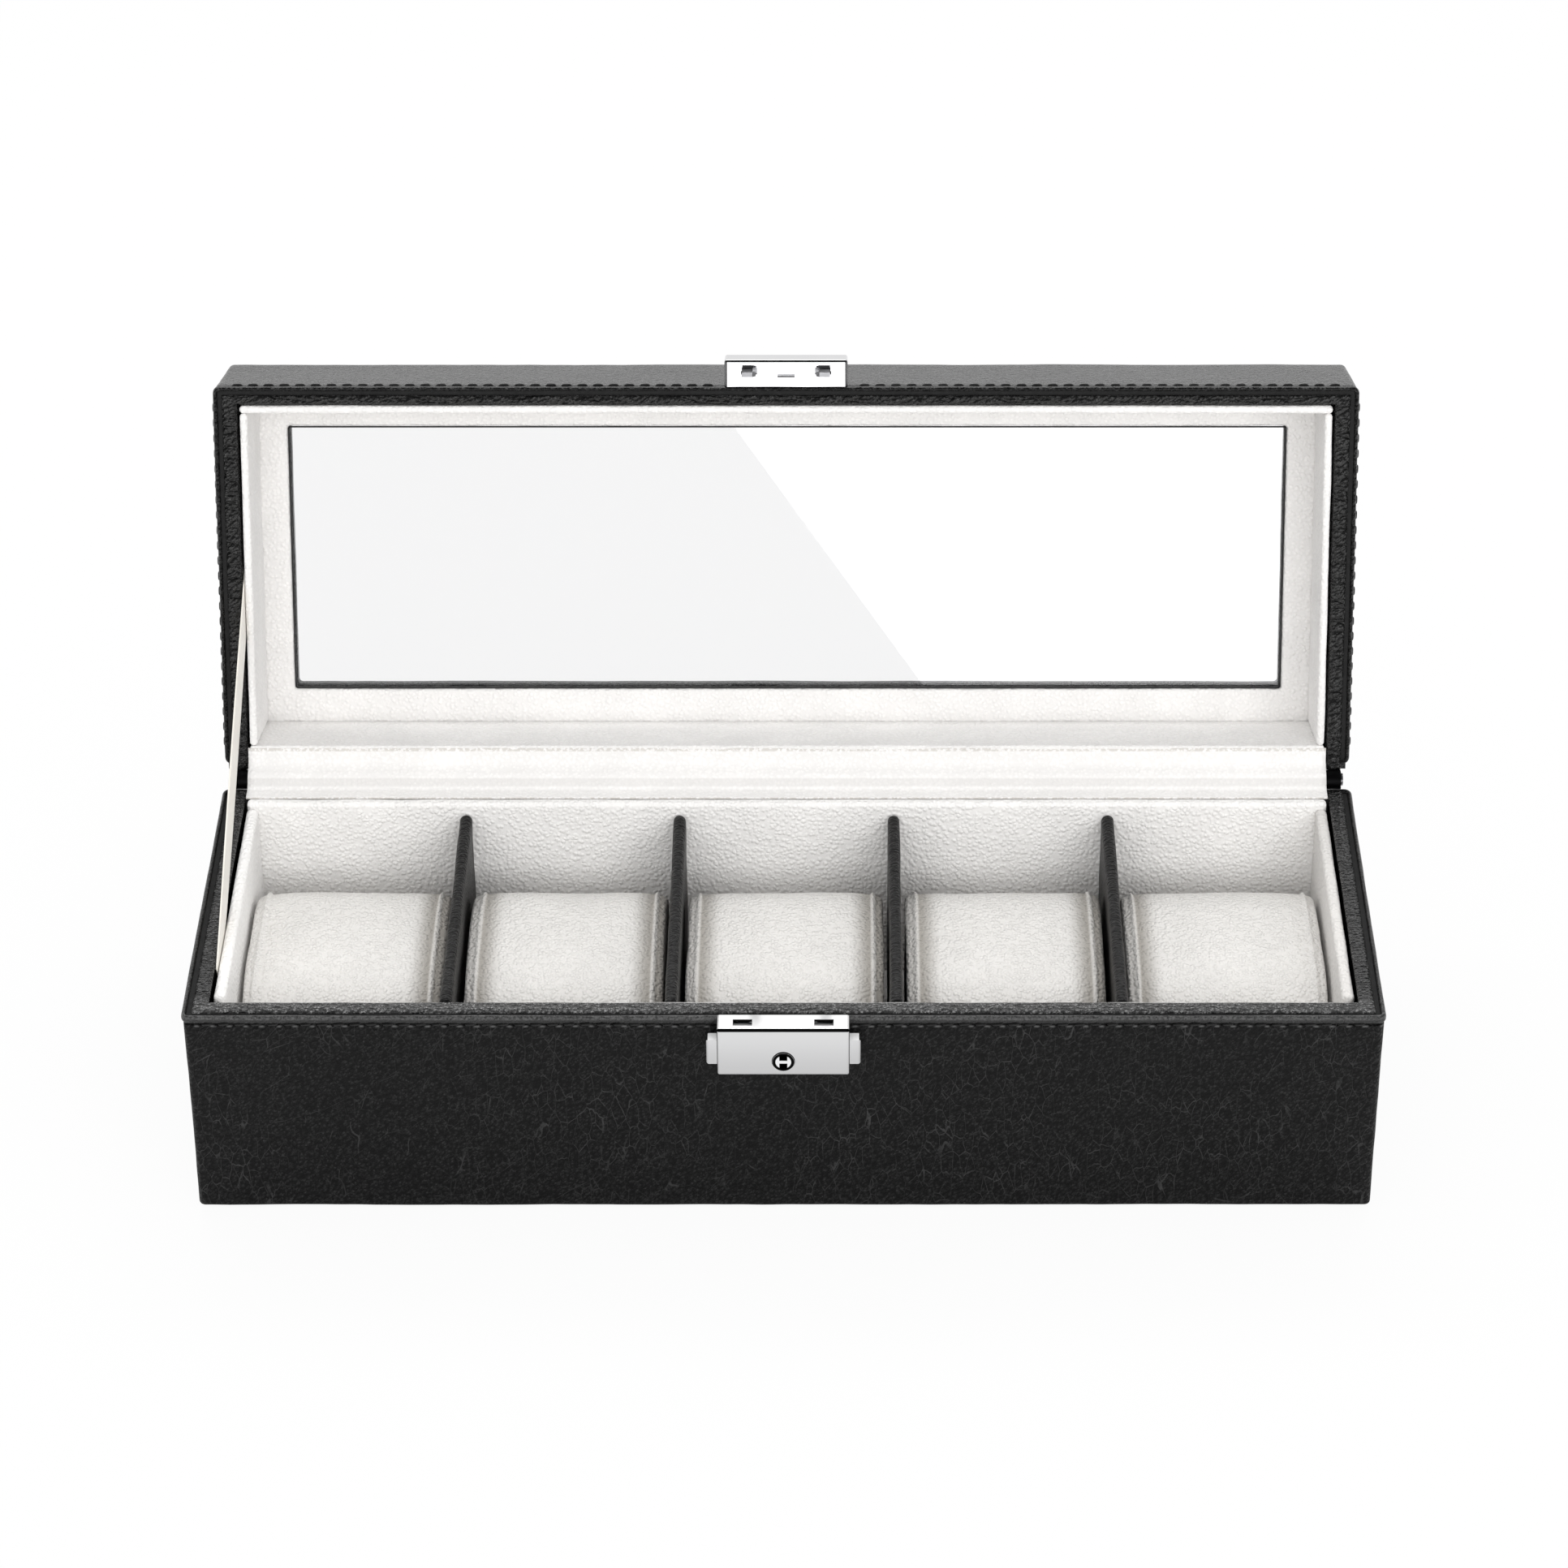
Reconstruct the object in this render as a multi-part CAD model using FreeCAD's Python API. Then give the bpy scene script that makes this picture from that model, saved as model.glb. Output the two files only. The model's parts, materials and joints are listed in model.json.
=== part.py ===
import FreeCAD, Part
import math
import os

# A five-slot watch box, shown with its lid open. Boards carry a stitched leather skin outside and
# soft pale linings inside, a glass window sits in the lid, a full-length hinge joins lid and base at
# the back, and a squeeze lock closes the front.
# Millimetres. X runs along the box, -Y is the lock side, +Z is up, and the origin is the middle of
# the underside. The lid is drawn closed and then turned open about the hinge pin.

# Whole box
box_width = 300.0
box_depth = 102.4
base_height = 61.2
lid_height = 35.0
rim_gap = 0.6
open_angle = 108.6
corner_radius = 2.0

# Leather skin
leather = 0.8
welt_height = 3.0
welt_proud = 0.4
welt_bevel = 0.5
flap_depth = 14.0
lid_edge_round = 1.4

# Boards
side_board = 4.4
front_board = 4.8
back_board = 3.6
bottom_board = 4.0
lid_front_board = 3.0
lid_back_board = 3.0
lid_top_board = 6.0
underside_cover = 1.0
cover_inset = 3.0

# Linings and dividers
lining = 3.0
floor_lining = 2.0
lid_lining = 2.0
lid_back_lining = 1.2
lid_frame_lining = 1.5
lining_round = 0.9
lining_drop = 1.2
lid_lining_proud = 0.3
ribbon_slot = 0.7
lining_ease = 0.3
slot_count = 5
divider_thickness = 3.2
divider_drop = 2.8

# Window in the lid
window_side_border = 17.0
window_front_border = 14.8
window_reveal = 0.4
glass_thickness = 2.0
glass_margin = 5.0
glass_ease = 0.3

# Watch cushions
cushion_side_gap = 1.9
cushion_depth = 58.0
cushion_height = 42.0
cushion_corner = 17.0
cushion_crown = 1.6
cushion_foot_bevel = 6.0
cushion_ease = 0.3
seam_from_end = 3.6
seam_groove = 0.9
end_cap_draw = 5.0
end_cap_turn = 1.3
end_cap_shoulder = 1.5
corner_tightening = 0.5

# Hinge
hinge_offset = 3.8
knuckle_radius = 2.6
pin_radius = 1.0
pin_clearance = 0.1
pin_head_radius = 1.7
pin_head_height = 0.6
knuckle_count = 7
knuckle_gap = 0.3
hinge_inset = 2.6
leaf_thickness = 0.5
leaf_ease = 0.2
strip_thickness = 0.45
strip_ease = 0.2
strip_landing = 1.4
strip_lead = 1.3
strip_pull = 0.8
strip_lift = 0.75
strip_steps = 8

# Ribbon stay on the left side
ribbon_width = 10.0
ribbon_thickness = 0.35
ribbon_base_reach = 67.7
ribbon_lid_reach = 41.6
ribbon_tuck = 12.0

# Lock on the base
lock_width = 33.0
lock_height = 14.2
lock_depth = 7.2
lock_rise = 1.2
lock_plate = 1.0
lock_wall = 0.9
lock_round = 0.7
hook_slot_width = 4.8
hook_slot_depth = 2.6
hook_setback = 4.2
core_radius = 2.75
core_clearance = 0.15
core_drop = 9.8
core_proud = 0.3
core_flange = 0.55
core_shaft_radius = 2.0
keyway_width = 1.6
keyway_height = 1.5
keyway_bar = 1.4
keyway_depth = 2.0
lock_boss_width = 2.4
lock_boss_offset = 5.2
lock_boss_drop = 5.4

# Squeeze buttons with their latch plates
button_reach = 2.9
button_height = 7.4
button_depth = 2.9
button_drop = 5.4
button_round = 0.9
button_travel = 2.0
slide_ease = 0.3
latch_thickness = 1.0
latch_drop = 2.5
latch_inner = 6.0
arm_thickness = 1.3
spring_strip = 0.3
spring_folds = 4
spring_post = 2.0

# Strike and hooks on the lid
strike_inset = 0.4
strike_height = 8.0
strike_gap = 0.4
strike_wall = 0.9
strike_slit_width = 4.5
strike_slit_height = 0.9
strike_slit_offset = 3.0
hook_side = 6.4
hook_width = 2.8
hook_thickness = 1.2
hook_barb = 0.85
hook_barb_height = 1.2
hook_plate = 0.8
hook_plate_depth = 3.6
strike_boss_width = 3.2
strike_boss_side = 3.3
rivet_radius = 0.8

# How far a cutter runs past the face that it opens, how close counts as the same place,
# and the smallest corner that a skin or board keeps
cut_margin = 1.0
same_place = 1e-4
least_corner = 0.1

# Places worked out from the sizes above
half_width = box_width / 2
half_depth = box_depth / 2
skin = leather + welt_proud
panel_x = half_width - welt_proud
panel_y = half_depth - welt_proud
core_x = half_width - skin
core_y = half_depth - skin
panel_corner = max(corner_radius - welt_proud, least_corner)
board_corner = max(corner_radius - skin, least_corner)

wall_foot = underside_cover + leather
board_top = base_height - leather
floor_top = underside_cover + bottom_board
lining_foot = floor_top + floor_lining

inner_x = core_x - side_board
rim_inner_x = inner_x - leather
lining_outer_x = rim_inner_x - ribbon_slot
bay_x = lining_outer_x - lining
inner_front = -(core_y - front_board)
inner_back = core_y - back_board
lining_front = inner_front + leather + lining_ease
bay_front = lining_front + lining
bay_back = inner_back - lining
bay_width = (2 * bay_x - (slot_count - 1) * divider_thickness) / slot_count
slot_pitch = bay_width + divider_thickness
cushion_width = bay_width - 2 * cushion_side_gap

lid_rim = base_height + rim_gap
lid_board_foot = lid_rim + leather
lid_top = lid_rim + lid_height
lid_board_top = lid_top - leather
lid_ceiling = lid_board_top - lid_top_board
lid_frame_foot = lid_ceiling - lid_frame_lining
lid_inner_front = -(core_y - lid_front_board)
lid_inner_back = core_y - lid_back_board
window_width = box_width - 2 * window_side_border
window_depth = box_depth - 2 * window_front_border

hinge_y = half_depth + hinge_offset
hinge_z = base_height + rim_gap / 2
hinge_half = half_width - hinge_inset
leaf_half = rim_inner_x - leaf_ease
leaf_face = hinge_z - board_top - leaf_thickness
knuckle_pitch = 2 * hinge_half / knuckle_count

lock_face = -panel_y
lock_front = lock_face - lock_depth
lock_back = lock_face - lock_plate
lock_top = base_height + lock_rise
lock_foot = lock_top - lock_height
lock_cavity_x = lock_width / 2 - lock_wall
lock_cavity_front = lock_front + lock_wall
lock_cavity_top = lock_top - lock_wall
core_z = lock_top - core_drop
lock_boss_z = lock_top - lock_boss_drop
hook_y = lock_face - hook_setback
hook_offset = lock_width / 2 - hook_side
hook_inner = hook_offset - hook_width / 2
hook_outer = hook_offset + hook_width / 2
latch_top = lock_top - latch_drop
latch_foot = latch_top - latch_thickness
button_top = lock_top - button_drop
button_foot = button_top - button_height
button_back = lock_back - slide_ease
button_front = button_back - button_depth
strike_width = lock_width - 2 * strike_inset
strike_boss_offset = lock_width / 2 - strike_boss_side
strike_foot = lock_top + strike_gap
strike_top = strike_foot + strike_height
strike_boss_z = (strike_foot + strike_top) / 2


def block(x0, x1, y0, y1, z0, z1):
    """A box between two corners."""
    return Part.makeBox(x1 - x0, y1 - y0, z1 - z0, FreeCAD.Vector(x0, y0, z0))


def rounded_block(half_x, half_y, z0, z1, radius):
    """A box centred on the Z axis with rounded upright edges."""
    body = block(-half_x, half_x, -half_y, half_y, z0, z1)
    upright = [e for e in body.Edges if abs(e.tangentAt(e.FirstParameter).z) > 0.9]
    return body.makeFillet(radius, upright)


def level_edges(shape, z):
    """The edges of a shape that lie at one height."""
    return [e for e in shape.Edges if all(abs(v.Z - z) < same_place for v in e.Vertexes)]


def cylinder_y(radius, x, y0, y1, z):
    """A round bar along Y between two places."""
    start = FreeCAD.Vector(x, min(y0, y1), z)
    return Part.makeCylinder(radius, abs(y1 - y0), start, FreeCAD.Vector(0, 1, 0))


def cylinder_x(radius, x0, x1, y, z):
    """A round bar along X between two places."""
    return Part.makeCylinder(radius, x1 - x0, FreeCAD.Vector(x0, y, z), FreeCAD.Vector(1, 0, 0))


def mirrored(shape):
    """The same shape on the other side of the box."""
    return shape.mirror(FreeCAD.Vector(0, 0, 0), FreeCAD.Vector(1, 0, 0))


def union(shapes):
    """All the shapes joined into one."""
    joined = shapes[0]
    for shape in shapes[1:]:
        joined = joined.fuse(shape)
    return joined.removeSplitter()


def opened(shape):
    """A shape of the closed lid, turned open about the hinge pin."""
    turned = shape.copy()
    turned.rotate(FreeCAD.Vector(0, hinge_y, hinge_z), FreeCAD.Vector(1, 0, 0), -open_angle)
    return turned


def prism_x(points, x0, x1):
    """A solid with a closed outline in the YZ plane, drawn along X."""
    corners = [FreeCAD.Vector(x0, y, z) for y, z in points]
    face = Part.Face(Part.makePolygon(corners + corners[:1]))
    return face.extrude(FreeCAD.Vector(x1 - x0, 0, 0))


def base_boards():
    """The base's floor and its four walls, butted inside one rounded outline."""
    block_of_boards = rounded_block(core_x, core_y, wall_foot, board_top, board_corner)
    reach = half_width
    front = block_of_boards.common(block(-reach, reach, -half_depth, inner_front, 0, base_height))
    back = block_of_boards.common(block(-reach, reach, inner_back, half_depth, 0, base_height))
    right = block(inner_x, core_x, inner_front, inner_back, wall_foot, board_top)
    floor = block(-inner_x, inner_x, inner_front, inner_back, underside_cover, floor_top)
    return {
        "base_front_board": front,
        "base_back_board": back,
        "base_right_board": right,
        "base_left_board": mirrored(right),
        "base_bottom_board": floor,
        "base_bottom_cover": rounded_block(
            panel_x - cover_inset, panel_y - cover_inset, 0, underside_cover, corner_radius
        ),
    }


def welt(z_low, z_high, z_free):
    """The turned, stitched edge of a leather skin, bevelled along its free side."""
    band = rounded_block(half_width, half_depth, z_low, z_high, corner_radius)
    return band.makeChamfer(welt_bevel, level_edges(band, z_free))


def hinge_relief(z_low, z_high):
    """The room that a hinge leaf needs across the back edge of a skin."""
    return block(-leaf_half, leaf_half, 0, half_depth + cut_margin, z_low, z_high)


def base_leather():
    """The outer skin with its turned-under foot, and the leather laid over the rim."""
    skin_block = rounded_block(panel_x, panel_y, underside_cover, base_height, panel_corner)
    outer = skin_block.fuse(welt(base_height - welt_height, base_height, base_height))
    boards = rounded_block(core_x, core_y, wall_foot, base_height + cut_margin, board_corner)
    foot_hole = block(-inner_x, inner_x, inner_front, inner_back, 0, wall_foot + cut_margin)
    lock_seat = block(
        -lock_width / 2,
        lock_width / 2,
        -half_depth - cut_margin,
        lock_face,
        lock_foot,
        base_height + cut_margin,
    )
    wrap = outer.cut(boards).cut(foot_hole).cut(lock_seat)
    wrap = wrap.cut(hinge_relief(board_top, base_height + cut_margin))

    cap = rounded_block(core_x, core_y, board_top, base_height, board_corner)
    legs = block(-inner_x, inner_x, inner_front, inner_back, base_height - flap_depth, base_height)
    mouth = block(
        -rim_inner_x, rim_inner_x, inner_front + leather, half_depth, 0, base_height + cut_margin
    )
    return {
        "base_leather_wrap": wrap,
        "base_rim_leather": cap.fuse(legs).cut(mouth).removeSplitter(),
    }


def soft_panel(panel, z_edge):
    """A lining panel with its long edges at one height rounded over."""
    size = panel.BoundBox
    long_side = max(size.XLength, size.YLength)
    edges = [e for e in level_edges(panel, z_edge) if e.Length > long_side * 0.9]
    return panel.makeFillet(lining_round, edges)


def base_linings():
    """The floor lining, and the four wall linings that stand on it."""
    top = base_height - lining_drop
    back_top = hinge_z - leaf_face + strip_thickness
    front = block(-lining_outer_x, lining_outer_x, lining_front, bay_front, lining_foot, top)
    back = block(-lining_outer_x, lining_outer_x, bay_back, inner_back, lining_foot, back_top)
    right = block(bay_x, lining_outer_x, bay_front, bay_back, lining_foot, top)
    right = soft_panel(right, top)
    back_edge = [e for e in level_edges(back, back_top) if abs(e.CenterOfMass.y - bay_back) < same_place]
    return {
        "base_lining_floor": block(-inner_x, inner_x, inner_front, inner_back, floor_top, lining_foot),
        "base_lining_front": soft_panel(front, top),
        "base_lining_back": back.makeFillet(lining_round, back_edge),
        "base_lining_right": right,
        "base_lining_left": mirrored(right),
    }


def dividers():
    """The upright walls between the slots, each with a full-round top edge."""
    top = base_height - divider_drop
    half = divider_thickness / 2
    found = {}
    for number in range(1, slot_count):
        x = -bay_x + number * slot_pitch - half
        wall = block(x - half, x + half, bay_front, bay_back, lining_foot, top - half)
        crown = cylinder_y(half, x, bay_front, bay_back, top - half)
        found[f"divider_{number}"] = union([wall, crown])
    return found


def cushion_section(x, draw):
    """A cushion's outline at one place along it, drawn in all round by a given depth."""
    half = cushion_depth / 2 - draw
    low = lining_foot + cushion_ease + draw
    high = lining_foot + cushion_ease + cushion_height - draw
    big = cushion_corner - draw * corner_tightening
    small = cushion_foot_bevel - draw * corner_tightening
    turn = 1 - math.sqrt(0.5)
    side = half - cushion_crown
    shoulder = high - cushion_crown
    middle = (low + high) / 2

    def at(y, z):
        return FreeCAD.Vector(x, y, z)

    outline = [
        Part.Arc(at(-(side - big), shoulder), at(0, high), at(side - big, shoulder)),
        Part.Arc(
            at(side - big, shoulder), at(side - big * turn, shoulder - big * turn), at(side, shoulder - big)
        ),
        Part.Arc(at(side, shoulder - big), at(half, middle), at(side, low + small)),
        Part.LineSegment(at(side, low + small), at(side - small, low)),
        Part.LineSegment(at(side - small, low), at(-(side - small), low)),
        Part.LineSegment(at(-(side - small), low), at(-side, low + small)),
        Part.Arc(at(-side, low + small), at(-half, middle), at(-side, shoulder - big)),
        Part.Arc(
            at(-side, shoulder - big),
            at(-(side - big * turn), shoulder - big * turn),
            at(-(side - big), shoulder),
        ),
    ]
    return Part.Wire([curve.toShape() for curve in outline])


def cushion(centre_x):
    """A watch cushion: crowned along its top, with a sewn ridge near each drawn-in end."""
    end = cushion_width / 2
    ridge = end - seam_from_end
    half_profile = [
        (0.0, 0.0),
        (ridge - seam_groove, seam_groove),
        (ridge, 0.0),
        (end - end_cap_turn, end_cap_shoulder),
        (end, end_cap_draw),
    ]
    places = [(-x, draw) for x, draw in reversed(half_profile[1:])] + half_profile
    wires = [cushion_section(centre_x + x, draw) for x, draw in places]
    return Part.makeLoft(wires, True, True)


def cushions():
    """One cushion in the middle of each slot."""
    found = {}
    for number in range(1, slot_count + 1):
        centre_x = -bay_x + bay_width / 2 + (number - 1) * slot_pitch
        found[f"cushion_{number}"] = cushion(centre_x)
    return found


def lid_boards():
    """The lid's four walls, and its top with the window cut and the rebate for the glass."""
    walls = rounded_block(core_x, core_y, lid_board_foot, lid_ceiling, board_corner)
    reach = half_width
    front = walls.common(block(-reach, reach, -half_depth, lid_inner_front, 0, lid_top))
    back = walls.common(block(-reach, reach, lid_inner_back, half_depth, 0, lid_top))
    right = block(inner_x, core_x, lid_inner_front, lid_inner_back, lid_board_foot, lid_ceiling)
    top = rounded_block(core_x, core_y, lid_ceiling, lid_board_top, board_corner)
    cut_x = window_width / 2 + leather
    cut_y = window_depth / 2 + leather
    glass_x = window_width / 2 + glass_margin + glass_ease
    glass_y = window_depth / 2 + glass_margin + glass_ease
    top = top.cut(block(-cut_x, cut_x, -cut_y, cut_y, lid_ceiling - cut_margin, lid_top))
    top = top.cut(
        block(-glass_x, glass_x, -glass_y, glass_y, lid_ceiling - cut_margin, lid_ceiling + glass_thickness)
    )
    return {
        "lid_front_board": front,
        "lid_back_board": back,
        "lid_right_board": right,
        "lid_left_board": mirrored(right),
        "lid_top_board": top,
    }


def lid_leather():
    """The lid's outer skin, turned into the window cut, and the leather laid over its rim."""
    skin_block = rounded_block(panel_x, panel_y, lid_rim, lid_top, panel_corner)
    skin_block = skin_block.makeFillet(lid_edge_round, level_edges(skin_block, lid_top))
    outer = skin_block.fuse(welt(lid_rim, lid_rim + welt_height, lid_rim))
    boards = rounded_block(core_x, core_y, lid_rim - cut_margin, lid_board_top, board_corner)
    strike_seat = block(
        -lock_width / 2, lock_width / 2, -half_depth - cut_margin, lock_face, lid_rim - cut_margin, strike_top
    )
    cut_x = window_width / 2
    cut_y = window_depth / 2
    window = block(-cut_x, cut_x, -cut_y, cut_y, lid_ceiling, lid_top + cut_margin)
    window_edge = block(
        -cut_x - leather,
        cut_x + leather,
        -cut_y - leather,
        cut_y + leather,
        lid_ceiling + glass_thickness,
        lid_board_top,
    )
    wrap = outer.cut(boards).fuse(window_edge).cut(window)
    wrap = wrap.cut(hinge_relief(lid_rim - cut_margin, lid_board_foot)).cut(strike_seat)

    cap = rounded_block(core_x, core_y, lid_rim, lid_board_foot, board_corner)
    legs = block(-inner_x, inner_x, lid_inner_front, lid_inner_back, lid_rim, lid_rim + flap_depth)
    mouth = block(
        -rim_inner_x, rim_inner_x, lid_inner_front + leather, half_depth, lid_rim - cut_margin, lid_top
    )
    return {
        "lid_leather_wrap": wrap.removeSplitter(),
        "lid_rim_leather": cap.fuse(legs).cut(mouth).removeSplitter(),
    }


def lid_glass_and_linings():
    """The glass in its rebate, the lining frame that holds it, and the lid's wall linings."""
    glass_x = window_width / 2 + glass_margin
    glass_y = window_depth / 2 + glass_margin
    frame_x = window_width / 2 + window_reveal
    frame_y = window_depth / 2 + window_reveal
    frame = block(-inner_x, inner_x, lid_inner_front, lid_inner_back, lid_frame_foot, lid_ceiling)
    frame = frame.cut(block(-frame_x, frame_x, -frame_y, frame_y, lid_frame_foot - cut_margin, lid_top))

    foot = lid_rim - lid_lining_proud
    back_foot = hinge_z + leaf_face - strip_thickness
    outer_y = lid_inner_front + leather + lining_ease
    inner_y = outer_y + lid_lining
    back_y = lid_inner_back - lid_back_lining
    front = block(-lining_outer_x, lining_outer_x, outer_y, inner_y, foot, lid_frame_foot)
    back = block(-lining_outer_x, lining_outer_x, back_y, lid_inner_back, back_foot, lid_frame_foot)
    right = block(lining_outer_x - lid_lining, lining_outer_x, inner_y, back_y, foot, lid_frame_foot)
    return {
        "lid_glass": block(
            -glass_x, glass_x, -glass_y, glass_y, lid_ceiling, lid_ceiling + glass_thickness
        ),
        "lid_lining_top": frame,
        "lid_lining_front": front,
        "lid_lining_back": back,
        "lid_lining_right": right,
        "lid_lining_left": mirrored(right),
    }


def knuckles(first):
    """Every second knuckle of the hinge barrel, as plain bars."""
    bars = []
    for number in range(first, knuckle_count, 2):
        x0 = -hinge_half + number * knuckle_pitch
        x1 = x0 + knuckle_pitch
        if number > 0:
            x0 += knuckle_gap / 2
        if number < knuckle_count - 1:
            x1 -= knuckle_gap / 2
        bars.append((x0, x1))
    return bars


def hinge_leaf(spans, y_inner, z0, z1, bore):
    """A hinge leaf that lies on a rim, with the knuckles that it carries."""
    clear_y = hinge_y - knuckle_radius - knuckle_gap
    pieces = [block(-leaf_half, leaf_half, y_inner, clear_y, z0, z1)]
    for x0, x1 in spans:
        pieces.append(block(x0, x1, clear_y, hinge_y, z0, z1))
        pieces.append(cylinder_x(knuckle_radius, x0, x1, hinge_y, hinge_z))
    return union(pieces).cut(cylinder_x(bore, -half_width, half_width, hinge_y, hinge_z))


def hinge():
    """Two leaves on the back rims and the pin through their knuckles."""
    base_leaf = hinge_leaf(
        knuckles(0), inner_back + leaf_ease, board_top, board_top + leaf_thickness, pin_radius
    )
    lid_leaf = hinge_leaf(
        knuckles(1),
        lid_inner_back + leaf_ease,
        lid_board_foot - leaf_thickness,
        lid_board_foot,
        pin_radius + pin_clearance,
    )
    pin = [cylinder_x(pin_radius, -hinge_half, hinge_half, hinge_y, hinge_z)]
    pin.append(cylinder_x(pin_head_radius, hinge_half, hinge_half + pin_head_height, hinge_y, hinge_z))
    pin.append(mirrored(pin[1]))
    return {
        "hinge_base_leaf": base_leaf,
        "hinge_lid_leaf": lid_leaf,
        "hinge_pin": union(pin),
    }


def strip_line():
    """The middle line of the velvet strip from the base rim over the open hinge to the lid rim.

    Distances are from the pin, along and above the rim that the strip lies on. The second half
    mirrors the first about the line that halves the opening angle.
    """
    flat = -leaf_face + strip_thickness / 2
    radius = knuckle_radius + strip_ease + strip_thickness / 2
    half_turn = math.radians(open_angle / 2)
    lift = half_turn * strip_lift
    land = hinge_offset + strip_landing
    start = (land, flat)
    leave = (land - strip_lead, flat)
    meet = (radius * math.cos(lift), radius * math.sin(lift))
    reach = (meet[0] + strip_pull * math.sin(lift), meet[1] - strip_pull * math.cos(lift))
    curve = []
    for step in range(strip_steps + 1):
        t = step / strip_steps
        weights = ((1 - t) ** 3, 3 * t * (1 - t) ** 2, 3 * t * t * (1 - t), t ** 3)
        corners = (start, leave, reach, meet)
        curve.append(tuple(sum(w * c[i] for w, c in zip(weights, corners)) for i in (0, 1)))
    curve.append((radius * math.cos(half_turn), radius * math.sin(half_turn)))

    def unfold(u, h, side):
        """A point beside the base rim, or the same point beside the lid rim."""
        angle = math.atan2(h, u)
        distance = math.hypot(u, h)
        if side == "lid":
            angle = 2 * half_turn - angle
        return (hinge_y - distance * math.cos(angle), hinge_z + distance * math.sin(angle))

    base_end = (hinge_y - inner_back, flat)
    lid_end = (hinge_y - lid_inner_back, flat)
    line = [unfold(*base_end, "base")]
    line += [unfold(u, h, "base") for u, h in curve]
    line += [unfold(u, h, "lid") for u, h in reversed(curve[:-1])]
    line.append(unfold(*lid_end, "lid"))
    return line


def velvet_strip():
    """The soft strip that hides the hinge inside the box, at the open pose."""
    line = strip_line()
    over = []
    under = []
    for index, (y, z) in enumerate(line):
        before = line[max(index - 1, 0)]
        after = line[min(index + 1, len(line) - 1)]
        length = math.hypot(after[0] - before[0], after[1] - before[1])
        normal = (-(after[1] - before[1]) / length, (after[0] - before[0]) / length)
        half = strip_thickness / 2
        over.append((y + normal[0] * half, z + normal[1] * half))
        under.append((y - normal[0] * half, z - normal[1] * half))
    return {"hinge_velvet_strip": prism_x(over + under[::-1], -leaf_half, leaf_half)}


def ribbon():
    """The ribbon that stops the lid, straight and tight in the slot beside the left linings."""
    base_exit = FreeCAD.Vector(0, half_depth - ribbon_base_reach, base_height)
    lid_exit = Part.Vertex(0, half_depth - ribbon_lid_reach, lid_rim)
    lid_exit = opened(lid_exit).Point
    along = lid_exit - base_exit
    length = along.Length + 2 * ribbon_tuck
    slope = math.degrees(math.atan2(along.z, along.y))
    x = -(rim_inner_x + lining_outer_x) / 2
    strip = block(
        x - ribbon_thickness / 2,
        x + ribbon_thickness / 2,
        -ribbon_tuck,
        length - ribbon_tuck,
        -ribbon_width / 2,
        ribbon_width / 2,
    )
    strip.rotate(FreeCAD.Vector(0, 0, 0), FreeCAD.Vector(1, 0, 0), slope)
    strip.translate(base_exit)
    return {"ribbon_stay": strip}


def rivets(offset, y_inside, z):
    """A pair of rivets from inside a front wall, out into the bosses of the lock or the strike."""
    tip = lock_front + 2 * lock_wall
    return Part.makeCompound(
        [cylinder_y(rivet_radius, x, y_inside, tip, z) for x in (-offset, offset)]
    )


def boss(x, z, width, y_front, y_back):
    """A square post inside a case, which takes a rivet."""
    half = width / 2
    return block(x - half, x + half, y_front, y_back, z - half, z + half)


def lock_case():
    """The lock's chrome case: open at the back, with slots for the hooks, buttons and key."""
    half = lock_width / 2
    case = block(-half, half, lock_front, lock_back, lock_foot, lock_top)
    outer_edges = [e for e in case.Edges if abs(e.CenterOfMass.y - lock_back) > same_place]
    case = case.makeFillet(lock_round, outer_edges)
    case = case.cut(
        block(
            -lock_cavity_x,
            lock_cavity_x,
            lock_cavity_front,
            lock_back,
            lock_foot + lock_wall,
            lock_cavity_top,
        )
    )
    for x in (-lock_boss_offset, lock_boss_offset):
        case = case.fuse(boss(x, lock_boss_z, lock_boss_width, lock_cavity_front, lock_back))
    for x in (-hook_offset, hook_offset):
        case = case.cut(
            block(
                x - hook_slot_width / 2,
                x + hook_slot_width / 2,
                hook_y - hook_slot_depth / 2,
                hook_y + hook_slot_depth / 2,
                lock_cavity_top - cut_margin,
                lock_top + cut_margin,
            )
        )
    button_slot = block(
        -half - cut_margin,
        half + cut_margin,
        button_front - slide_ease,
        button_back + slide_ease,
        button_foot - slide_ease,
        button_top + slide_ease,
    )
    key_hole = cylinder_y(core_radius + core_clearance, 0, lock_front - cut_margin, lock_cavity_front, core_z)
    return case.cut(button_slot).cut(key_hole)


def lock_core():
    """The turning key barrel, with its flange behind the case front and a two-notch keyway."""
    front = lock_front - core_proud
    behind = lock_cavity_front + slide_ease
    barrel = union(
        [
            cylinder_y(core_radius, 0, front, behind, core_z),
            cylinder_y(core_radius + core_flange, 0, behind, behind + lock_wall, core_z),
            cylinder_y(core_shaft_radius, 0, behind, lock_back, core_z),
        ]
    )
    for side in (-1, 1):
        near = core_z + side * keyway_bar / 2
        far = near + side * keyway_height
        barrel = barrel.cut(
            block(
                -keyway_width / 2,
                keyway_width / 2,
                front,
                front + keyway_depth,
                min(near, far),
                max(near, far),
            )
        )
    return barrel


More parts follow.
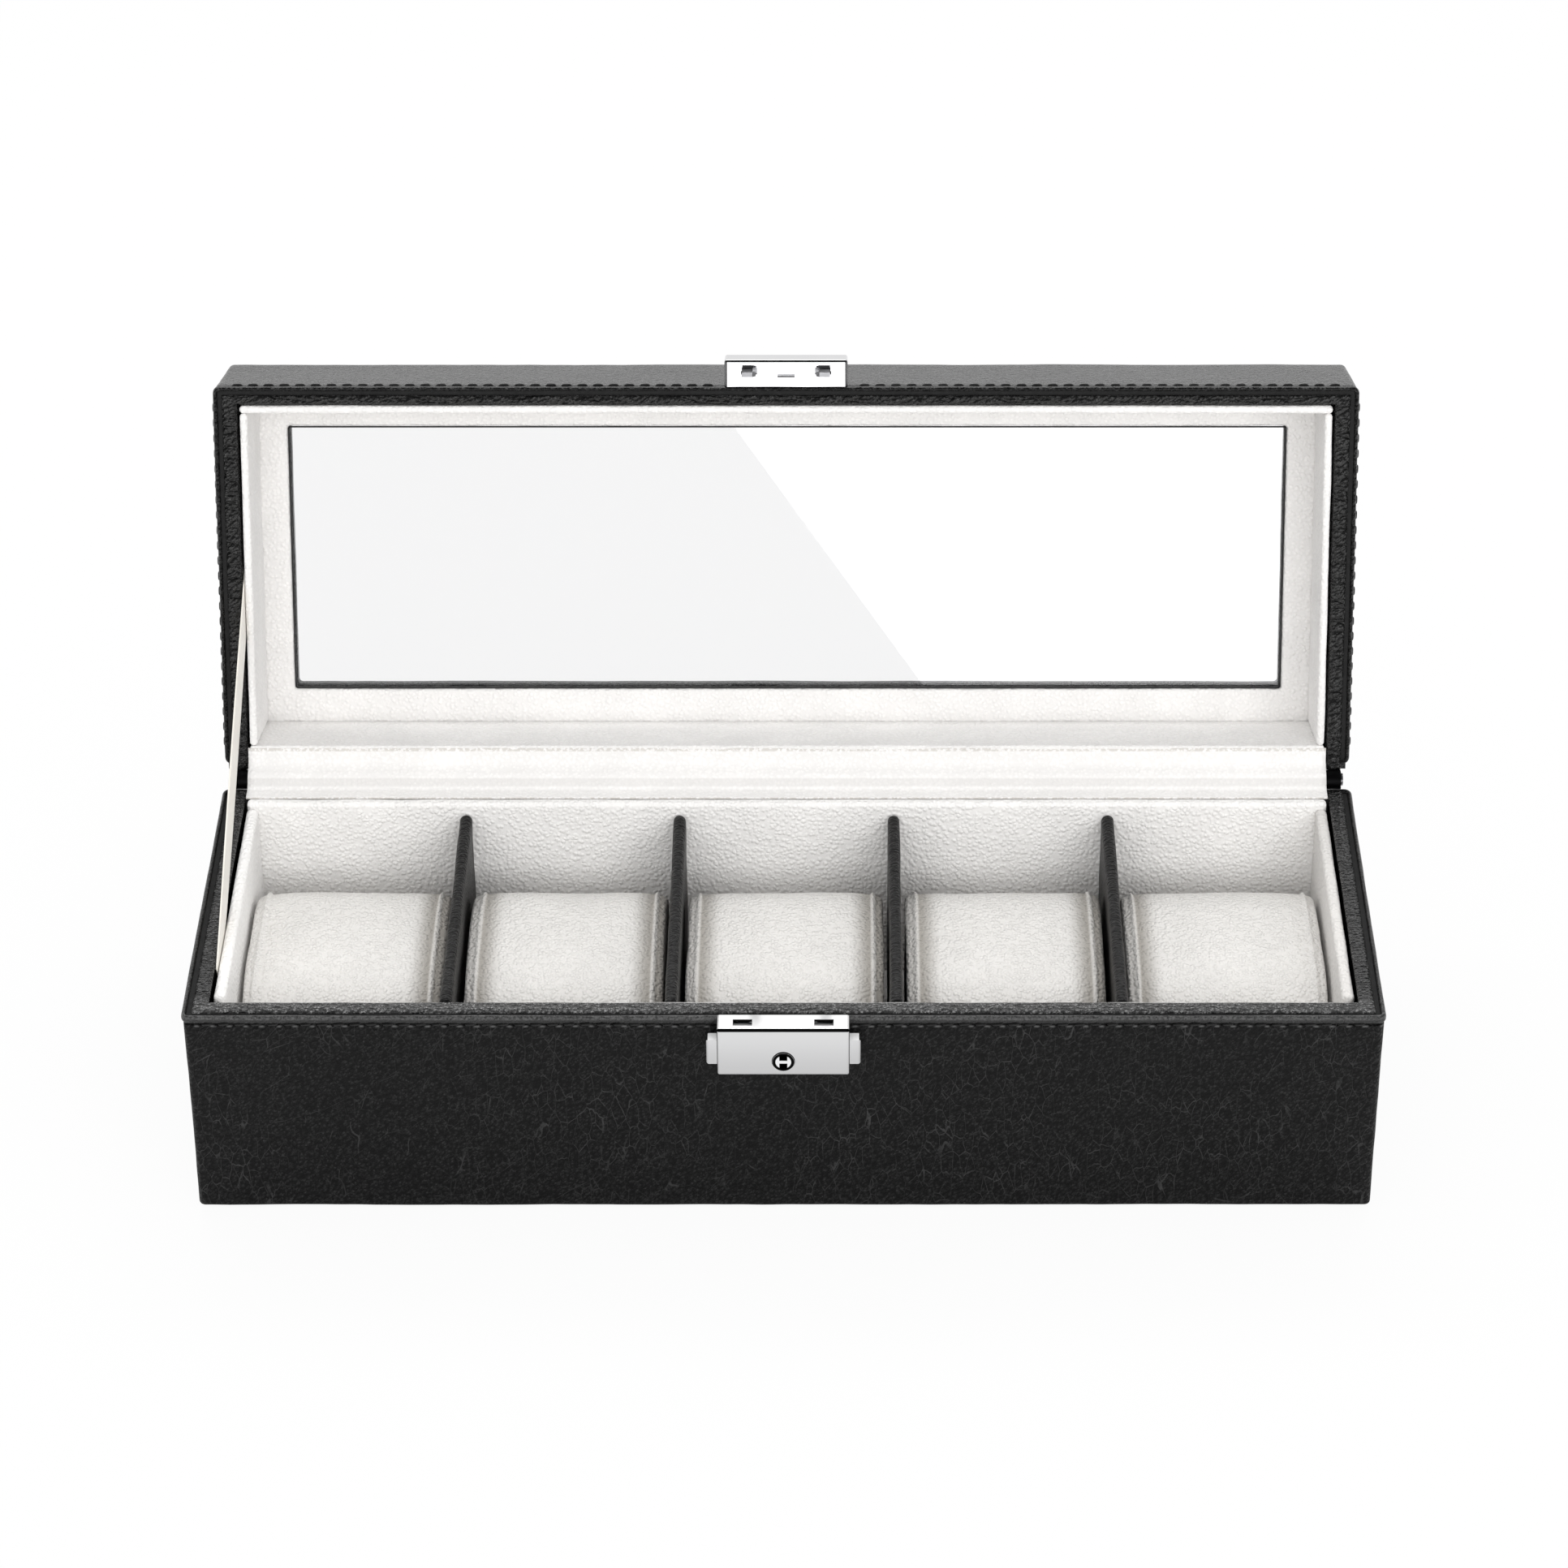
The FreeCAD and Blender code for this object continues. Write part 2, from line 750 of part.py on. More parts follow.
def right_button():
    """The right squeeze button, with the arm and latch plate that hold the right hook."""
    arm_outer = lock_cavity_x - slide_ease
    arm_inner = arm_outer - arm_thickness
    knob = block(arm_inner, lock_width / 2 + button_reach, button_front, button_back, button_foot, button_top)
    outer_edges = [e for e in knob.Edges if e.BoundBox.XMin > lock_width / 2]
    knob = knob.makeFillet(button_round, outer_edges)
    arm = block(arm_inner, arm_outer, button_front, button_back, button_foot, latch_top)
    plate_front = lock_cavity_front + slide_ease
    plate = block(latch_inner, arm_outer, plate_front, button_back, latch_foot, latch_top)
    window = block(
        hook_inner - slide_ease,
        hook_outer + slide_ease + button_travel,
        hook_y - hook_slot_depth / 2,
        hook_y + hook_slot_depth / 2,
        latch_foot - cut_margin,
        latch_top + cut_margin,
    )
    return union([knob, arm, plate.cut(window)])


def right_spring():
    """The folded strip spring between the lock's middle post and the right latch plate."""
    pitch = (latch_inner - spring_post - spring_strip) / spring_folds
    y_back = lock_back - 2 * slide_ease
    strips = []
    for number in range(spring_folds + 1):
        x = spring_post + number * pitch
        strips.append(block(x, x + spring_strip, hook_y, y_back, latch_foot, latch_top))
    for number in range(spring_folds):
        x = spring_post + number * pitch
        y = hook_y if number % 2 else y_back - spring_strip
        strips.append(block(x, x + pitch + spring_strip, y, y + spring_strip, latch_foot, latch_top))
    return union(strips)


def lock():
    """The lock on the base's front wall."""
    pair = rivets(lock_boss_offset, inner_front, lock_boss_z)
    plate = block(-lock_width / 2, lock_width / 2, lock_back, lock_face, lock_foot, base_height)
    post = block(-spring_post, spring_post, hook_y, lock_back, latch_foot, latch_top)
    button = right_button()
    spring = right_spring()
    return {
        "lock_case": lock_case().cut(pair),
        "lock_back_plate": plate.fuse(post).removeSplitter().cut(pair),
        "lock_rivets": pair,
        "lock_core": lock_core(),
        "lock_button_right": button,
        "lock_button_left": mirrored(button),
        "lock_spring_right": spring,
        "lock_spring_left": mirrored(spring),
    }


def strike_cap():
    """The strike's chrome cap on the lid, with slots for the hooks and a slit between them."""
    half = strike_width / 2
    cap = block(-half, half, lock_front, lock_face, strike_foot, strike_top)
    outer_edges = [e for e in cap.Edges if abs(e.CenterOfMass.y - lock_face) > same_place]
    cap = cap.makeFillet(lock_round, outer_edges)
    cap = cap.cut(
        block(
            -half + strike_wall,
            half - strike_wall,
            lock_front + strike_wall,
            lock_face,
            strike_foot + strike_wall,
            strike_top - strike_wall,
        )
    )
    for x in (-strike_boss_offset, strike_boss_offset):
        cap = cap.fuse(boss(x, strike_boss_z, strike_boss_width, lock_front + strike_wall, lock_face))
    for side in (-1, 1):
        inner = side * (hook_inner - hook_barb - slide_ease)
        outer = side * (hook_outer + slide_ease)
        cap = cap.cut(
            block(
                min(inner, outer),
                max(inner, outer),
                hook_y - hook_thickness / 2 - slide_ease,
                hook_y + hook_thickness / 2 + slide_ease,
                strike_foot - cut_margin,
                strike_foot + strike_wall,
            )
        )
    slit_y = lock_face - strike_slit_offset
    return cap.cut(
        block(
            -strike_slit_width / 2,
            strike_slit_width / 2,
            slit_y - strike_slit_height / 2,
            slit_y + strike_slit_height / 2,
            strike_foot - cut_margin,
            strike_foot + strike_wall,
        )
    )


def strike_hooks():
    """The steel plate inside the strike, with two hooks whose barbs point inwards."""
    plate_foot = strike_foot + strike_wall
    reach = strike_boss_offset - strike_boss_width / 2 - slide_ease
    plate = block(
        -reach,
        reach,
        hook_y - hook_plate_depth / 2,
        hook_y + hook_plate_depth / 2,
        plate_foot,
        plate_foot + hook_plate,
    )
    barb_top = latch_foot - slide_ease
    tip = barb_top - hook_barb_height
    outline = [
        (hook_outer, plate_foot),
        (hook_outer, tip),
        (hook_inner, tip),
        (hook_inner - hook_barb, barb_top),
        (hook_inner, barb_top),
        (hook_inner, plate_foot),
    ]
    corners = [FreeCAD.Vector(x, hook_y - hook_thickness / 2, z) for x, z in outline]
    face = Part.Face(Part.makePolygon(corners + corners[:1]))
    hook = face.extrude(FreeCAD.Vector(0, hook_thickness, 0))
    return union([plate, hook, mirrored(hook)])


def strike():
    """The strike on the lid's front wall."""
    pair = rivets(strike_boss_offset, lid_inner_front, strike_boss_z)
    return {
        "lock_strike": strike_cap().cut(pair),
        "strike_hooks": strike_hooks(),
        "strike_rivets": pair,
    }


def build():
    """Every piece of the box by name, with the lid's pieces turned open."""
    base = {**base_boards(), **base_leather(), **base_linings(), **dividers(), **cushions(), **lock()}
    lid = {**lid_boards(), **lid_leather(), **lid_glass_and_linings(), **strike()}
    joint = hinge()

    base["base_front_board"] = base["base_front_board"].cut(base["lock_rivets"])
    base["base_leather_wrap"] = base["base_leather_wrap"].cut(base["lock_rivets"])
    lid["lid_front_board"] = lid["lid_front_board"].cut(lid["strike_rivets"])
    lid["lid_leather_wrap"] = lid["lid_leather_wrap"].cut(lid["strike_rivets"])

    lid["hinge_lid_leaf"] = joint.pop("hinge_lid_leaf")
    pieces = {**base, **joint, **velvet_strip(), **ribbon()}
    for name, shape in lid.items():
        pieces[name] = opened(shape)
    return pieces


os.makedirs("parts", exist_ok=True)
for piece_name, piece in build().items():
    piece.exportStep(f"parts/{piece_name}.step")
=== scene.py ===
import json
import math

import bmesh
import bpy
from mathutils import Matrix, Vector, noise


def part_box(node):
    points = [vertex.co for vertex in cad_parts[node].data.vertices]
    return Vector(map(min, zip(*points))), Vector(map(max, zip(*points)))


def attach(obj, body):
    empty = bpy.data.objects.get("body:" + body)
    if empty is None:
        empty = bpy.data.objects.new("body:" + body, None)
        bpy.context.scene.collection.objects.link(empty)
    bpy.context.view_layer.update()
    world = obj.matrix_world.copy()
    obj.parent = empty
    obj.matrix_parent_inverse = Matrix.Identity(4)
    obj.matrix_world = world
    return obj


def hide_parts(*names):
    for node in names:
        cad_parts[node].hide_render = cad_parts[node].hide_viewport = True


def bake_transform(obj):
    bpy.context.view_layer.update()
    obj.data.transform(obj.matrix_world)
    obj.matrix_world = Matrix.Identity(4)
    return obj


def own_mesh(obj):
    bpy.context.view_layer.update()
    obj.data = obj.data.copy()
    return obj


# A five-slot watch box in black stitched leather, with pale velvet inside and a glass lid.
# Sizes and places are in millimetres and become metres when a mesh is made. The lid's pieces are
# made with the lid shut and then turned open about the hinge, as the frame holds them.

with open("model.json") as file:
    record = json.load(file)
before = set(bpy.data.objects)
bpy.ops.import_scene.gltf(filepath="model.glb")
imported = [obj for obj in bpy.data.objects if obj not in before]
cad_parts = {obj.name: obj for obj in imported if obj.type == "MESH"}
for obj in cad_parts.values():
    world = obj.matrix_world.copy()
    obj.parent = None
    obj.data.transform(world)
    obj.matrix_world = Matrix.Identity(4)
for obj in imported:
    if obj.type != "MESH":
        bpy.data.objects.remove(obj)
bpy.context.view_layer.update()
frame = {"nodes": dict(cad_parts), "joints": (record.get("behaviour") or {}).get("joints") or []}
nodes = frame["nodes"]

MM = 0.001
hinge = next(joint for joint in frame["joints"] if joint["name"] == "lid_hinge")
hinge_point = Vector(hinge["pos_m"])
lid_turn = (
    Matrix.Translation(hinge_point)
    @ Matrix.Rotation(math.radians(hinge["range_deg"][0]), 4, "X")
    @ Matrix.Translation(-hinge_point)
)


def rest_box(node):
    """A CAD node's lowest and highest corner at rest, in millimetres."""
    low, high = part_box(node)
    return low / MM, high / MM


def shut_box(node):
    """The same for a node of the lid, with the lid shut."""
    back = lid_turn.inverted()
    points = [back @ vertex.co / MM for vertex in nodes[node].data.vertices]
    low = Vector(min(p[axis] for p in points) for axis in range(3))
    high = Vector(max(p[axis] for p in points) for axis in range(3))
    return low, high


# Places taken from the frame
base_rim = rest_box("base_leather_wrap")[1].z
base_foot = rest_box("base_leather_wrap")[0].z
board_x = rest_box("base_right_board")[1].x
board_y = rest_box("base_back_board")[1].y
lid_rim = shut_box("lid_leather_wrap")[0].z
lid_top = shut_box("lid_leather_wrap")[1].z
lock_half = rest_box("lock_case")[1].x
lock_foot = rest_box("lock_case")[0].z
strike_top = shut_box("lock_strike")[1].z
leaf_half = rest_box("hinge_velvet_strip")[1].x
hinge_y = hinge_point.y / MM
hinge_z = hinge_point.z / MM


def add_object(name, data):
    """A new object in the scene."""
    made = bpy.data.objects.new(name, data)
    bpy.context.scene.collection.objects.link(made)
    return made


def add_piece(name, form, material, body=None, replaced=(), on_lid=False):
    """A smooth mesh piece on a body. Its form is its points, in millimetres, and its faces."""
    points, faces = form
    mesh = bpy.data.meshes.new(name)
    mesh.from_pydata([Vector(p) * MM for p in points], [], faces)
    work = bmesh.new()
    work.from_mesh(mesh)
    bmesh.ops.recalc_face_normals(work, faces=work.faces)
    work.to_mesh(mesh)
    work.free()
    if on_lid:
        mesh.transform(lid_turn)
    for polygon in mesh.polygons:
        polygon.use_smooth = True
    mesh.materials.append(material)
    piece = add_object(name, mesh)
    if body:
        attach(piece, body)
    if replaced:
        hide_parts(*replaced)
    return piece


def smooth_step(low, high, value):
    """0 below low, 1 above high and a soft change between them."""
    share = min(max((value - low) / (high - low), 0.0), 1.0)
    return share * share * (3 - 2 * share)


def mixed(a, b, share):
    """The value at a share of the way from a to b."""
    return a + (b - a) * share


def cos_sin(degrees):
    """The cosine and the sine of an angle in degrees."""
    angle = math.radians(degrees)
    return math.cos(angle), math.sin(angle)


seed_slant = 0.37


def uneven(piece, waves, number=1):
    """Moves a piece's surface in and out a little. Each wave is a depth, a length and a seed."""
    for depth, length, seed in waves:
        shift = seed * number
        offset = Vector((shift, shift * seed_slant, -shift))
        normals = [vertex.normal.copy() for vertex in piece.data.vertices]
        for vertex, normal in zip(piece.data.vertices, normals):
            vertex.co += normal * depth * MM * noise.noise(vertex.co / (length * MM) + offset)
        piece.data.update()


# Rings round the box, and skins between them
leather = 0.8
panel_x = board_x + leather
panel_y = board_y + leather
panel_corner = 1.6
least_corner = 0.15
ring_along = 200
ring_across = 70
ring_turn = 5


def corner_arc(centre, radius, start):
    """Points round a quarter turn that starts at an angle in degrees."""
    found = []
    for step in range(ring_turn + 1):
        cos, sin = cos_sin(start + 90 * step / ring_turn)
        found.append((centre[0] + radius * cos, centre[1] + radius * sin))
    return found


def joined_line(stretches, counts, closed):
    """Arcs joined by evenly divided straight sides into one line of points."""
    line = []
    for index, (arc, count) in enumerate(zip(stretches, counts)):
        if index == 0 and not closed:
            line += arc
            continue
        start, end = stretches[index - 1][-1], arc[0]
        for step in range(1, count):
            share = step / count
            line.append((mixed(start[0], end[0], share), mixed(start[1], end[1], share)))
        line += arc
    return line


def full_ring(half_x, half_y, corner, z):
    """A rounded rectangle round the box, as a closed line of points."""
    corner = max(corner, least_corner)
    x, y = half_x - corner, half_y - corner
    arcs = [
        corner_arc((x, -y), corner, -90),
        corner_arc((x, y), corner, 0),
        corner_arc((-x, y), corner, 90),
        corner_arc((-x, -y), corner, 180),
    ]
    flat = joined_line(arcs, (ring_along, ring_across, ring_along, ring_across), True)
    return [Vector((px, py, z)) for px, py in flat]


def open_ring(half_x, half_y, corner, z, back_y):
    """The same, but open at the back: along the left side, the front and the right side."""
    corner = max(corner, least_corner)
    x, y = half_x - corner, half_y - corner
    arcs = [
        [(-half_x, back_y)],
        corner_arc((-x, -y), corner, 180),
        corner_arc((x, -y), corner, 270),
        [(half_x, back_y)],
    ]
    flat = joined_line(arcs, (0, ring_across, ring_along, ring_across), False)
    return [Vector((px, py, z)) for px, py in flat]


def offset_ring(offset, z):
    """A ring at an offset from the leather's panel faces."""
    return full_ring(panel_x + offset, panel_y + offset, panel_corner + offset, z)


def joined_rings(rings, bands, sides):
    """The rings' points, and a number of bands between them with a number of faces each."""
    count = len(rings[0])
    faces = []
    for index in range(bands):
        here, after = index * count, (index + 1) % len(rings) * count
        for step in range(sides):
            beside = (step + 1) % count
            faces.append((here + step, here + beside, after + beside, after + step))
    return [point for ring in rings for point in ring], faces


def swept(rings, closed):
    """A closed skin: the last ring joins the first, and open rings get end caps."""
    count = len(rings[0])
    points, faces = joined_rings(rings, len(rings), count if closed else count - 1)
    if not closed:
        starts = range(0, len(points), count)
        faces.append(list(starts))
        faces.append([start + count - 1 for start in starts])
    return points, faces


def tube(rings):
    """A tube through closed rings, with a cap at each end."""
    count = len(rings[0])
    points, faces = joined_rings(rings, len(rings) - 1, count)
    faces.append(list(range(count)))
    faces.append(list(range(len(points) - count, len(points))))
    return points, faces


# The turned welt: a roll along the edge, with a groove that the stitches lie in
welt_depth = 1.1
welt_half = 0.6
base_welt_middle = -0.2
lid_welt_middle = -0.42
roll_start = -65
roll_step = 17
groove_depth = 2.45
groove_inset = 0.6
groove_lip = 0.2
groove_lip_share = 0.2
wall_start = 3.0
wall_step = 2.0
foot_turn = 5.0
foot_round = 1.0


def welt_roll(middle):
    """The roll as (outward offset, distance from the rim), from the groove round to the inner side."""
    found = [
        (0.0, wall_start),
        (-groove_inset * groove_lip_share, wall_start - groove_lip),
        (-groove_inset, groove_depth),
    ]
    for degrees in range(roll_start, 181, roll_step):
        cos, sin = cos_sin(degrees)
        found.append((middle + welt_half * cos, welt_depth * (1 - sin)))
    return found


def heights(low, high, step):
    """Evenly spaced heights between two places, without the ends."""
    count = max(int((high - low) / step), 1)
    return [mixed(low, high, index / count) for index in range(1, count)]


# Where the skins lie flat behind the lock, and what they keep from the hinge and the glass
seat_margin = 0.3
seat_fade = 1.5
seat_over = 1.0
skin_clear = 0.05
base_leaf_foot = base_rim - leather
lid_leaf_foot = lid_rim + leather


def seat_front(points, z_low, z_high):
    """Lays the skin flat behind the lock or its strike."""
    for point in points:
        if point.y < -board_y + leather and z_low < point.z < z_high:
            share = 1 - smooth_step(lock_half + seat_margin, lock_half + seat_fade, abs(point.x))
            point.y = mixed(point.y, max(point.y, -panel_y), share)


def clear_leaf(points, z_leaf, above):
    """Keeps the skin's back edge under the hinge leaf."""
    for point in points:
        if point.y > 0 and abs(point.x) < leaf_half:
            point.z = min(point.z, z_leaf) if above else max(point.z, z_leaf)


# Outer leather
base_waves = ((0.22, 28, 3.1), (0.07, 6, 8.4))
lid_waves = ((0.16, 26, 5.7), (0.06, 6, 1.9))
lid_round = 1.4
top_steps = 7
window_round = 0.6
glass_margin = 5.0
turn_corner = 1.0
window_corner = 0.6
reveal_share = 0.6


def base_skin(material):
    """The base's outer leather: turned under at the foot, up the walls and over the welt."""
    rings = [offset_ring(-foot_turn, base_foot), offset_ring(-foot_round, base_foot)]
    for degrees in (-60, -30, 0):
        cos, sin = cos_sin(degrees)
        rings.append(offset_ring(foot_round * (cos - 1), base_foot + foot_round * (1 + sin)))
    wall_top = base_rim - wall_start
    rings += [offset_ring(0, z) for z in heights(base_foot + foot_round, wall_top, wall_step)]
    rings += [offset_ring(offset, base_rim - depth) for offset, depth in welt_roll(base_welt_middle)]
    rings.append(offset_ring(-leather, wall_top))
    rings.append(offset_ring(-leather, base_foot + leather))
    rings.append(offset_ring(-foot_turn, base_foot + leather))
    points, faces = swept(rings, True)
    seat_front(points, lock_foot, base_rim + seat_over)
    clear_leaf(points, base_leaf_foot - skin_clear, True)
    piece = add_piece(
        "base_leather_skin", (points, faces), material, "base", ["base_leather_wrap"]
    )
    uneven(piece, base_waves)


def lid_skin(material):
    """The lid's outer leather: over the welt, up the walls, across the top and into the window."""
    window = shut_box("lid_glass")[1]
    window_x, window_y = window.x - glass_margin, window.y - glass_margin
    wall_top = lid_top - lid_round
    welt = reversed(welt_roll(lid_welt_middle))
    rings = [offset_ring(offset, lid_rim + depth) for offset, depth in welt]
    rings += [offset_ring(0, z) for z in heights(lid_rim + wall_start, wall_top, wall_step)]
    for degrees in range(0, 91, 15):
        cos, sin = cos_sin(degrees)
        rings.append(offset_ring(lid_round * (cos - 1), wall_top + lid_round * sin))
    edge_x, edge_y = panel_x - lid_round, panel_y - lid_round
    turn_x, turn_y = window_x + window_round, window_y + window_round
    for step in range(1, top_steps):
        share = step / top_steps
        half_x, half_y = mixed(edge_x, turn_x, share), mixed(edge_y, turn_y, share)
        rings.append(full_ring(half_x, half_y, turn_corner, lid_top))
    for degrees in (90, 60, 30, 0):
        cos, sin = cos_sin(degrees)
        inset = window_round * (1 - cos)
        z = lid_top - window_round * (1 - sin)
        rings.append(full_ring(window_x + inset, window_y + inset, turn_corner, z))
    reveal = [
        (0.0, mixed(lid_top, window.z, reveal_share)),
        (0.0, window.z + skin_clear),
        (leather, window.z + skin_clear),
        (leather, lid_top - leather),
    ]
    for grow, z in reveal:
        rings.append(full_ring(window_x + grow, window_y + grow, window_corner, z))
    rings += [offset_ring(-leather, z) for z in (lid_top - leather, lid_rim + wall_start)]
    points, faces = swept(rings, True)
    seat_front(points, lid_rim - seat_over, strike_top)
    clear_leaf(points, lid_leaf_foot + skin_clear, False)
    piece = add_piece(
        "lid_leather_skin", (points, faces), material, "lid", ["lid_leather_wrap"], on_lid=True
    )
    uneven(piece, lid_waves)


# The leather laid over a rim: a pillowed cap with a flap down the inside
cap_outer = -2.05
cap_flange = -0.33
cap_drop = 1.3
cap_squareness = 0.5
cap_step = 12
flap_depth = 14.0
base_cap_inner = (143.6, 44.4)
lid_cap_inner = (143.6, 46.2)
cap_waves = ((0.08, 11, 2.2), (0.03, 3, 6.1))


def rim_cap(name, material, body, node, rim, inner, back_y, on_lid):
    """The cap along the left, front and right rims. It faces up on the base and down on the lid."""
    inner_x, inner_y = inner

    def place(share, depth):
        half_x = mixed(panel_x + cap_outer, inner_x, share)
        half_y = mixed(panel_y + cap_outer, inner_y, share)
        corner = panel_corner + mixed(cap_outer, inner_x - panel_x, share)
        z = rim + depth if on_lid else rim - depth
        end_y = back_y if depth <= cap_drop else min(back_y, board_y)
        return open_ring(half_x, half_y, corner, z, end_y)

    rings = [place(cap_flange, cap_drop)]
    for degrees in range(180, -1, -cap_step):
        cos, sin = cos_sin(degrees)
        side = math.copysign(abs(cos) ** cap_squareness, cos)
        lift = sin ** cap_squareness if 0 < degrees < 180 else 0.0
        rings.append(place((1 + side) / 2 if degrees < 180 else 0.0, cap_drop * (1 - lift)))
    rings += [place(1.0, depth) for depth in (cap_drop + leather / 2, flap_depth / 2, flap_depth)]
    back_share = 1 - leather / (panel_x - inner_x)
    rings.append(place(back_share, flap_depth))
    rings.append(place(back_share, leather + cap_drop))
    rings.append(place(cap_flange, leather + cap_drop))
    piece = add_piece(name, swept(rings, False), material, body, [node], on_lid)
    uneven(piece, cap_waves)


# Stitches
stitch_pitch = 4.1
stitch_length = 2.9
stitch_radius = 0.36
stitch_tip = 0.12
stitch_bow = 0.24
stitch_bow_power = 4
stitch_tip_power = 6
stitch_sink = 0.55
stitch_sides = 8
stitch_steps = 8
stitch_tilt = 0.16
stitch_wander = 0.12
base_stitch_lift = 0.0
lid_stitch_lift = 0.14
corner_clear = 4.0
up = Vector((0, 0, 1))


def stitch(middle, along, out):
    """One thread stitch: a short arched strand whose ends dive into the leather."""
    rings = []
    for step in range(stitch_steps + 1):
        share = 2 * step / stitch_steps - 1
        arch = stitch_bow * (1 - share ** stitch_bow_power) - stitch_bow * stitch_sink
        centre = middle + along * share * stitch_length / 2 + up * share * stitch_tilt + out * arch
        radius = stitch_radius * max(1 - share ** stitch_tip_power, stitch_tip)
        ring = []
        for side in range(stitch_sides):
            angle = 2 * math.pi * side / stitch_sides
            ring.append(centre + (out * math.cos(angle) + up * math.sin(angle)) * radius)
        rings.append(ring)
    return tube(rings)


def stitch_row(name, material, body, z, lift, on_lid):
    """Stitches along the welt's groove on all four sides, with a gap behind the lock."""
    points = []
    faces = []
    reach_x, reach_y = panel_x + lift, panel_y + lift
    sides = [
        (Vector((0, -reach_y, z)), Vector((1, 0, 0)), Vector((0, -1, 0)), panel_x),
        (Vector((0, reach_y, z)), Vector((-1, 0, 0)), Vector((0, 1, 0)), panel_x),
        (Vector((reach_x, 0, z)), Vector((0, 1, 0)), Vector((1, 0, 0)), panel_y),
        (Vector((-reach_x, 0, z)), Vector((0, -1, 0)), Vector((-1, 0, 0)), panel_y),
    ]
    for middle, along, out, half in sides:
        count = int((half - corner_clear) / stitch_pitch)
        for number in range(-count, count + 1):
            distance = number * stitch_pitch
            if out.y < 0 and abs(distance) < lock_half + stitch_length / 2:
                continue
            shift = noise.noise(Vector((distance, half, z))) * stitch_wander
            new_points, new_faces = stitch(middle + along * distance + up * shift, along, out)
            start = len(points)
            points += new_points
            faces += [[start + index for index in face] for face in new_faces]
    add_piece(name, (points, faces), material, body, on_lid=on_lid)


# Covered cards: linings and dividers
edge_shares = (0.0, 0.12, 0.3, 0.55, 0.8, 1.0)
slab_limit = 2.01
no_length = 1e-9
slab_spacing = 1.6
full_round = 0.48
lining_round = 1.1
front_lining_drop = 1.1
lining_waves = ((0.12, 12, 1),)
lining_seeds = 17
divider_waves = ((0.22, 16, 2.3), (0.08, 4, 1.1))


def stops(low, high, radius):
    """Places along one side of a slab, closer together at its rounded ends."""
    count = max(int((high - low - 2 * radius) / slab_spacing), 1)
    found = [low + radius * share for share in edge_shares]
    found += [mixed(low + radius, high - radius, step / count) for step in range(1, count)]
    return found + [high - radius * share for share in reversed(edge_shares)]


def slab_mesh(low, high, radius):
    """A box with rounded edges and an even grid of faces."""
    lists = []
    for axis in range(3):
        limit = (high[axis] - low[axis]) / slab_limit
        lists.append(stops(low[axis], high[axis], min(radius, limit)))
    index = {}
    points = []
    faces = []

    def corner(where):
        if where not in index:
            index[where] = len(points)
            outer = Vector(lists[axis][where[axis]] for axis in range(3))
            inner = Vector(
                min(max(outer[axis], low[axis] + radius), high[axis] - radius)
                if high[axis] - low[axis] > 2 * radius
                else (low[axis] + high[axis]) / 2
                for axis in range(3)
            )
            away = outer - inner
            points.append(inner + away.normalized() * radius if away.length > no_length else outer)
        return index[where]

    for axis in range(3):
        first, second = (axis + 1) % 3, (axis + 2) % 3
        for end in (0, len(lists[axis]) - 1):
            for i in range(len(lists[first]) - 1):
                for j in range(len(lists[second]) - 1):
                    quad = []
                    for di, dj in ((0, 0), (1, 0), (1, 1), (0, 1)):
                        where = [0, 0, 0]
                        where[axis], where[first], where[second] = end, i + di, j + dj
                        quad.append(corner(tuple(where)))
                    faces.append(quad)
    return points, faces


def lining(node, material, body, on_lid=False, drop=0.0):
    """A velvet-covered card in the place of a CAD lining panel."""
    low, high = shut_box(node) if on_lid else rest_box(node)
    high.z -= drop
    radius = min(lining_round, min(high[axis] - low[axis] for axis in range(3)) * full_round)
    slab = slab_mesh(low, high, radius)
    piece = add_piece(f"{node}_velvet", slab, material, body, [node], on_lid)
    uneven(piece, lining_waves, sum(map(ord, node)) % lining_seeds)


def divider(number, material):
    """A leather-covered divider with a full-round top edge."""
    node = f"divider_{number}"
    low, high = rest_box(node)
    slab = slab_mesh(low, high, (high.x - low.x) * full_round)
    piece = add_piece(f"{node}_leather", slab, material, "base", [node])
    uneven(piece, divider_waves, number)


# Velvet frame round the window, and the black bead along its opening
window_reveal = 0.4
window_trim = 1.4
frame_corner = 0.3
frame_steps = 6
frame_soft_share = 0.6
frame_waves = ((0.12, 8, 4.4),)
bead_width = 0.45
bead_depth = 0.5
bead_sides = 8


def window_ring(grow, z):
    """A ring round the velvet frame's opening, whose front side covers a little more of the glass."""
    glass = shut_box("lid_glass")[1]
    half_x = glass.x - glass_margin + window_reveal + grow
    half_y = glass.y - glass_margin + window_reveal + grow - window_trim / 2
    shift = Vector((0, window_trim / 2, 0))
    return [point + shift for point in full_ring(half_x, half_y, window_corner, z)]


def window_lining(material):
    """The velvet frame round the window, with a soft edge at the glass."""
    low, high = shut_box("lid_lining_top")
    soft = (high.z - low.z) * frame_soft_share
    rings = [full_ring(high.x, high.y, frame_corner, z) for z in (high.z, low.z)]
    outer, inner = rings[-1], window_ring(soft, low.z)
    for step in range(1, frame_steps + 1):
        rings.append([a.lerp(b, step / frame_steps) for a, b in zip(outer, inner)])
    for degrees in (60, 30, 0):
        cos, sin = cos_sin(degrees)
        rings.append(window_ring(soft * (1 - cos), low.z + soft * (1 - sin)))
    rings.append(window_ring(0.0, high.z))
    skin = swept(rings, True)
    piece = add_piece("lid_lining_top_velvet", skin, material, "lid", ["lid_lining_top"], True)
    uneven(piece, frame_waves)


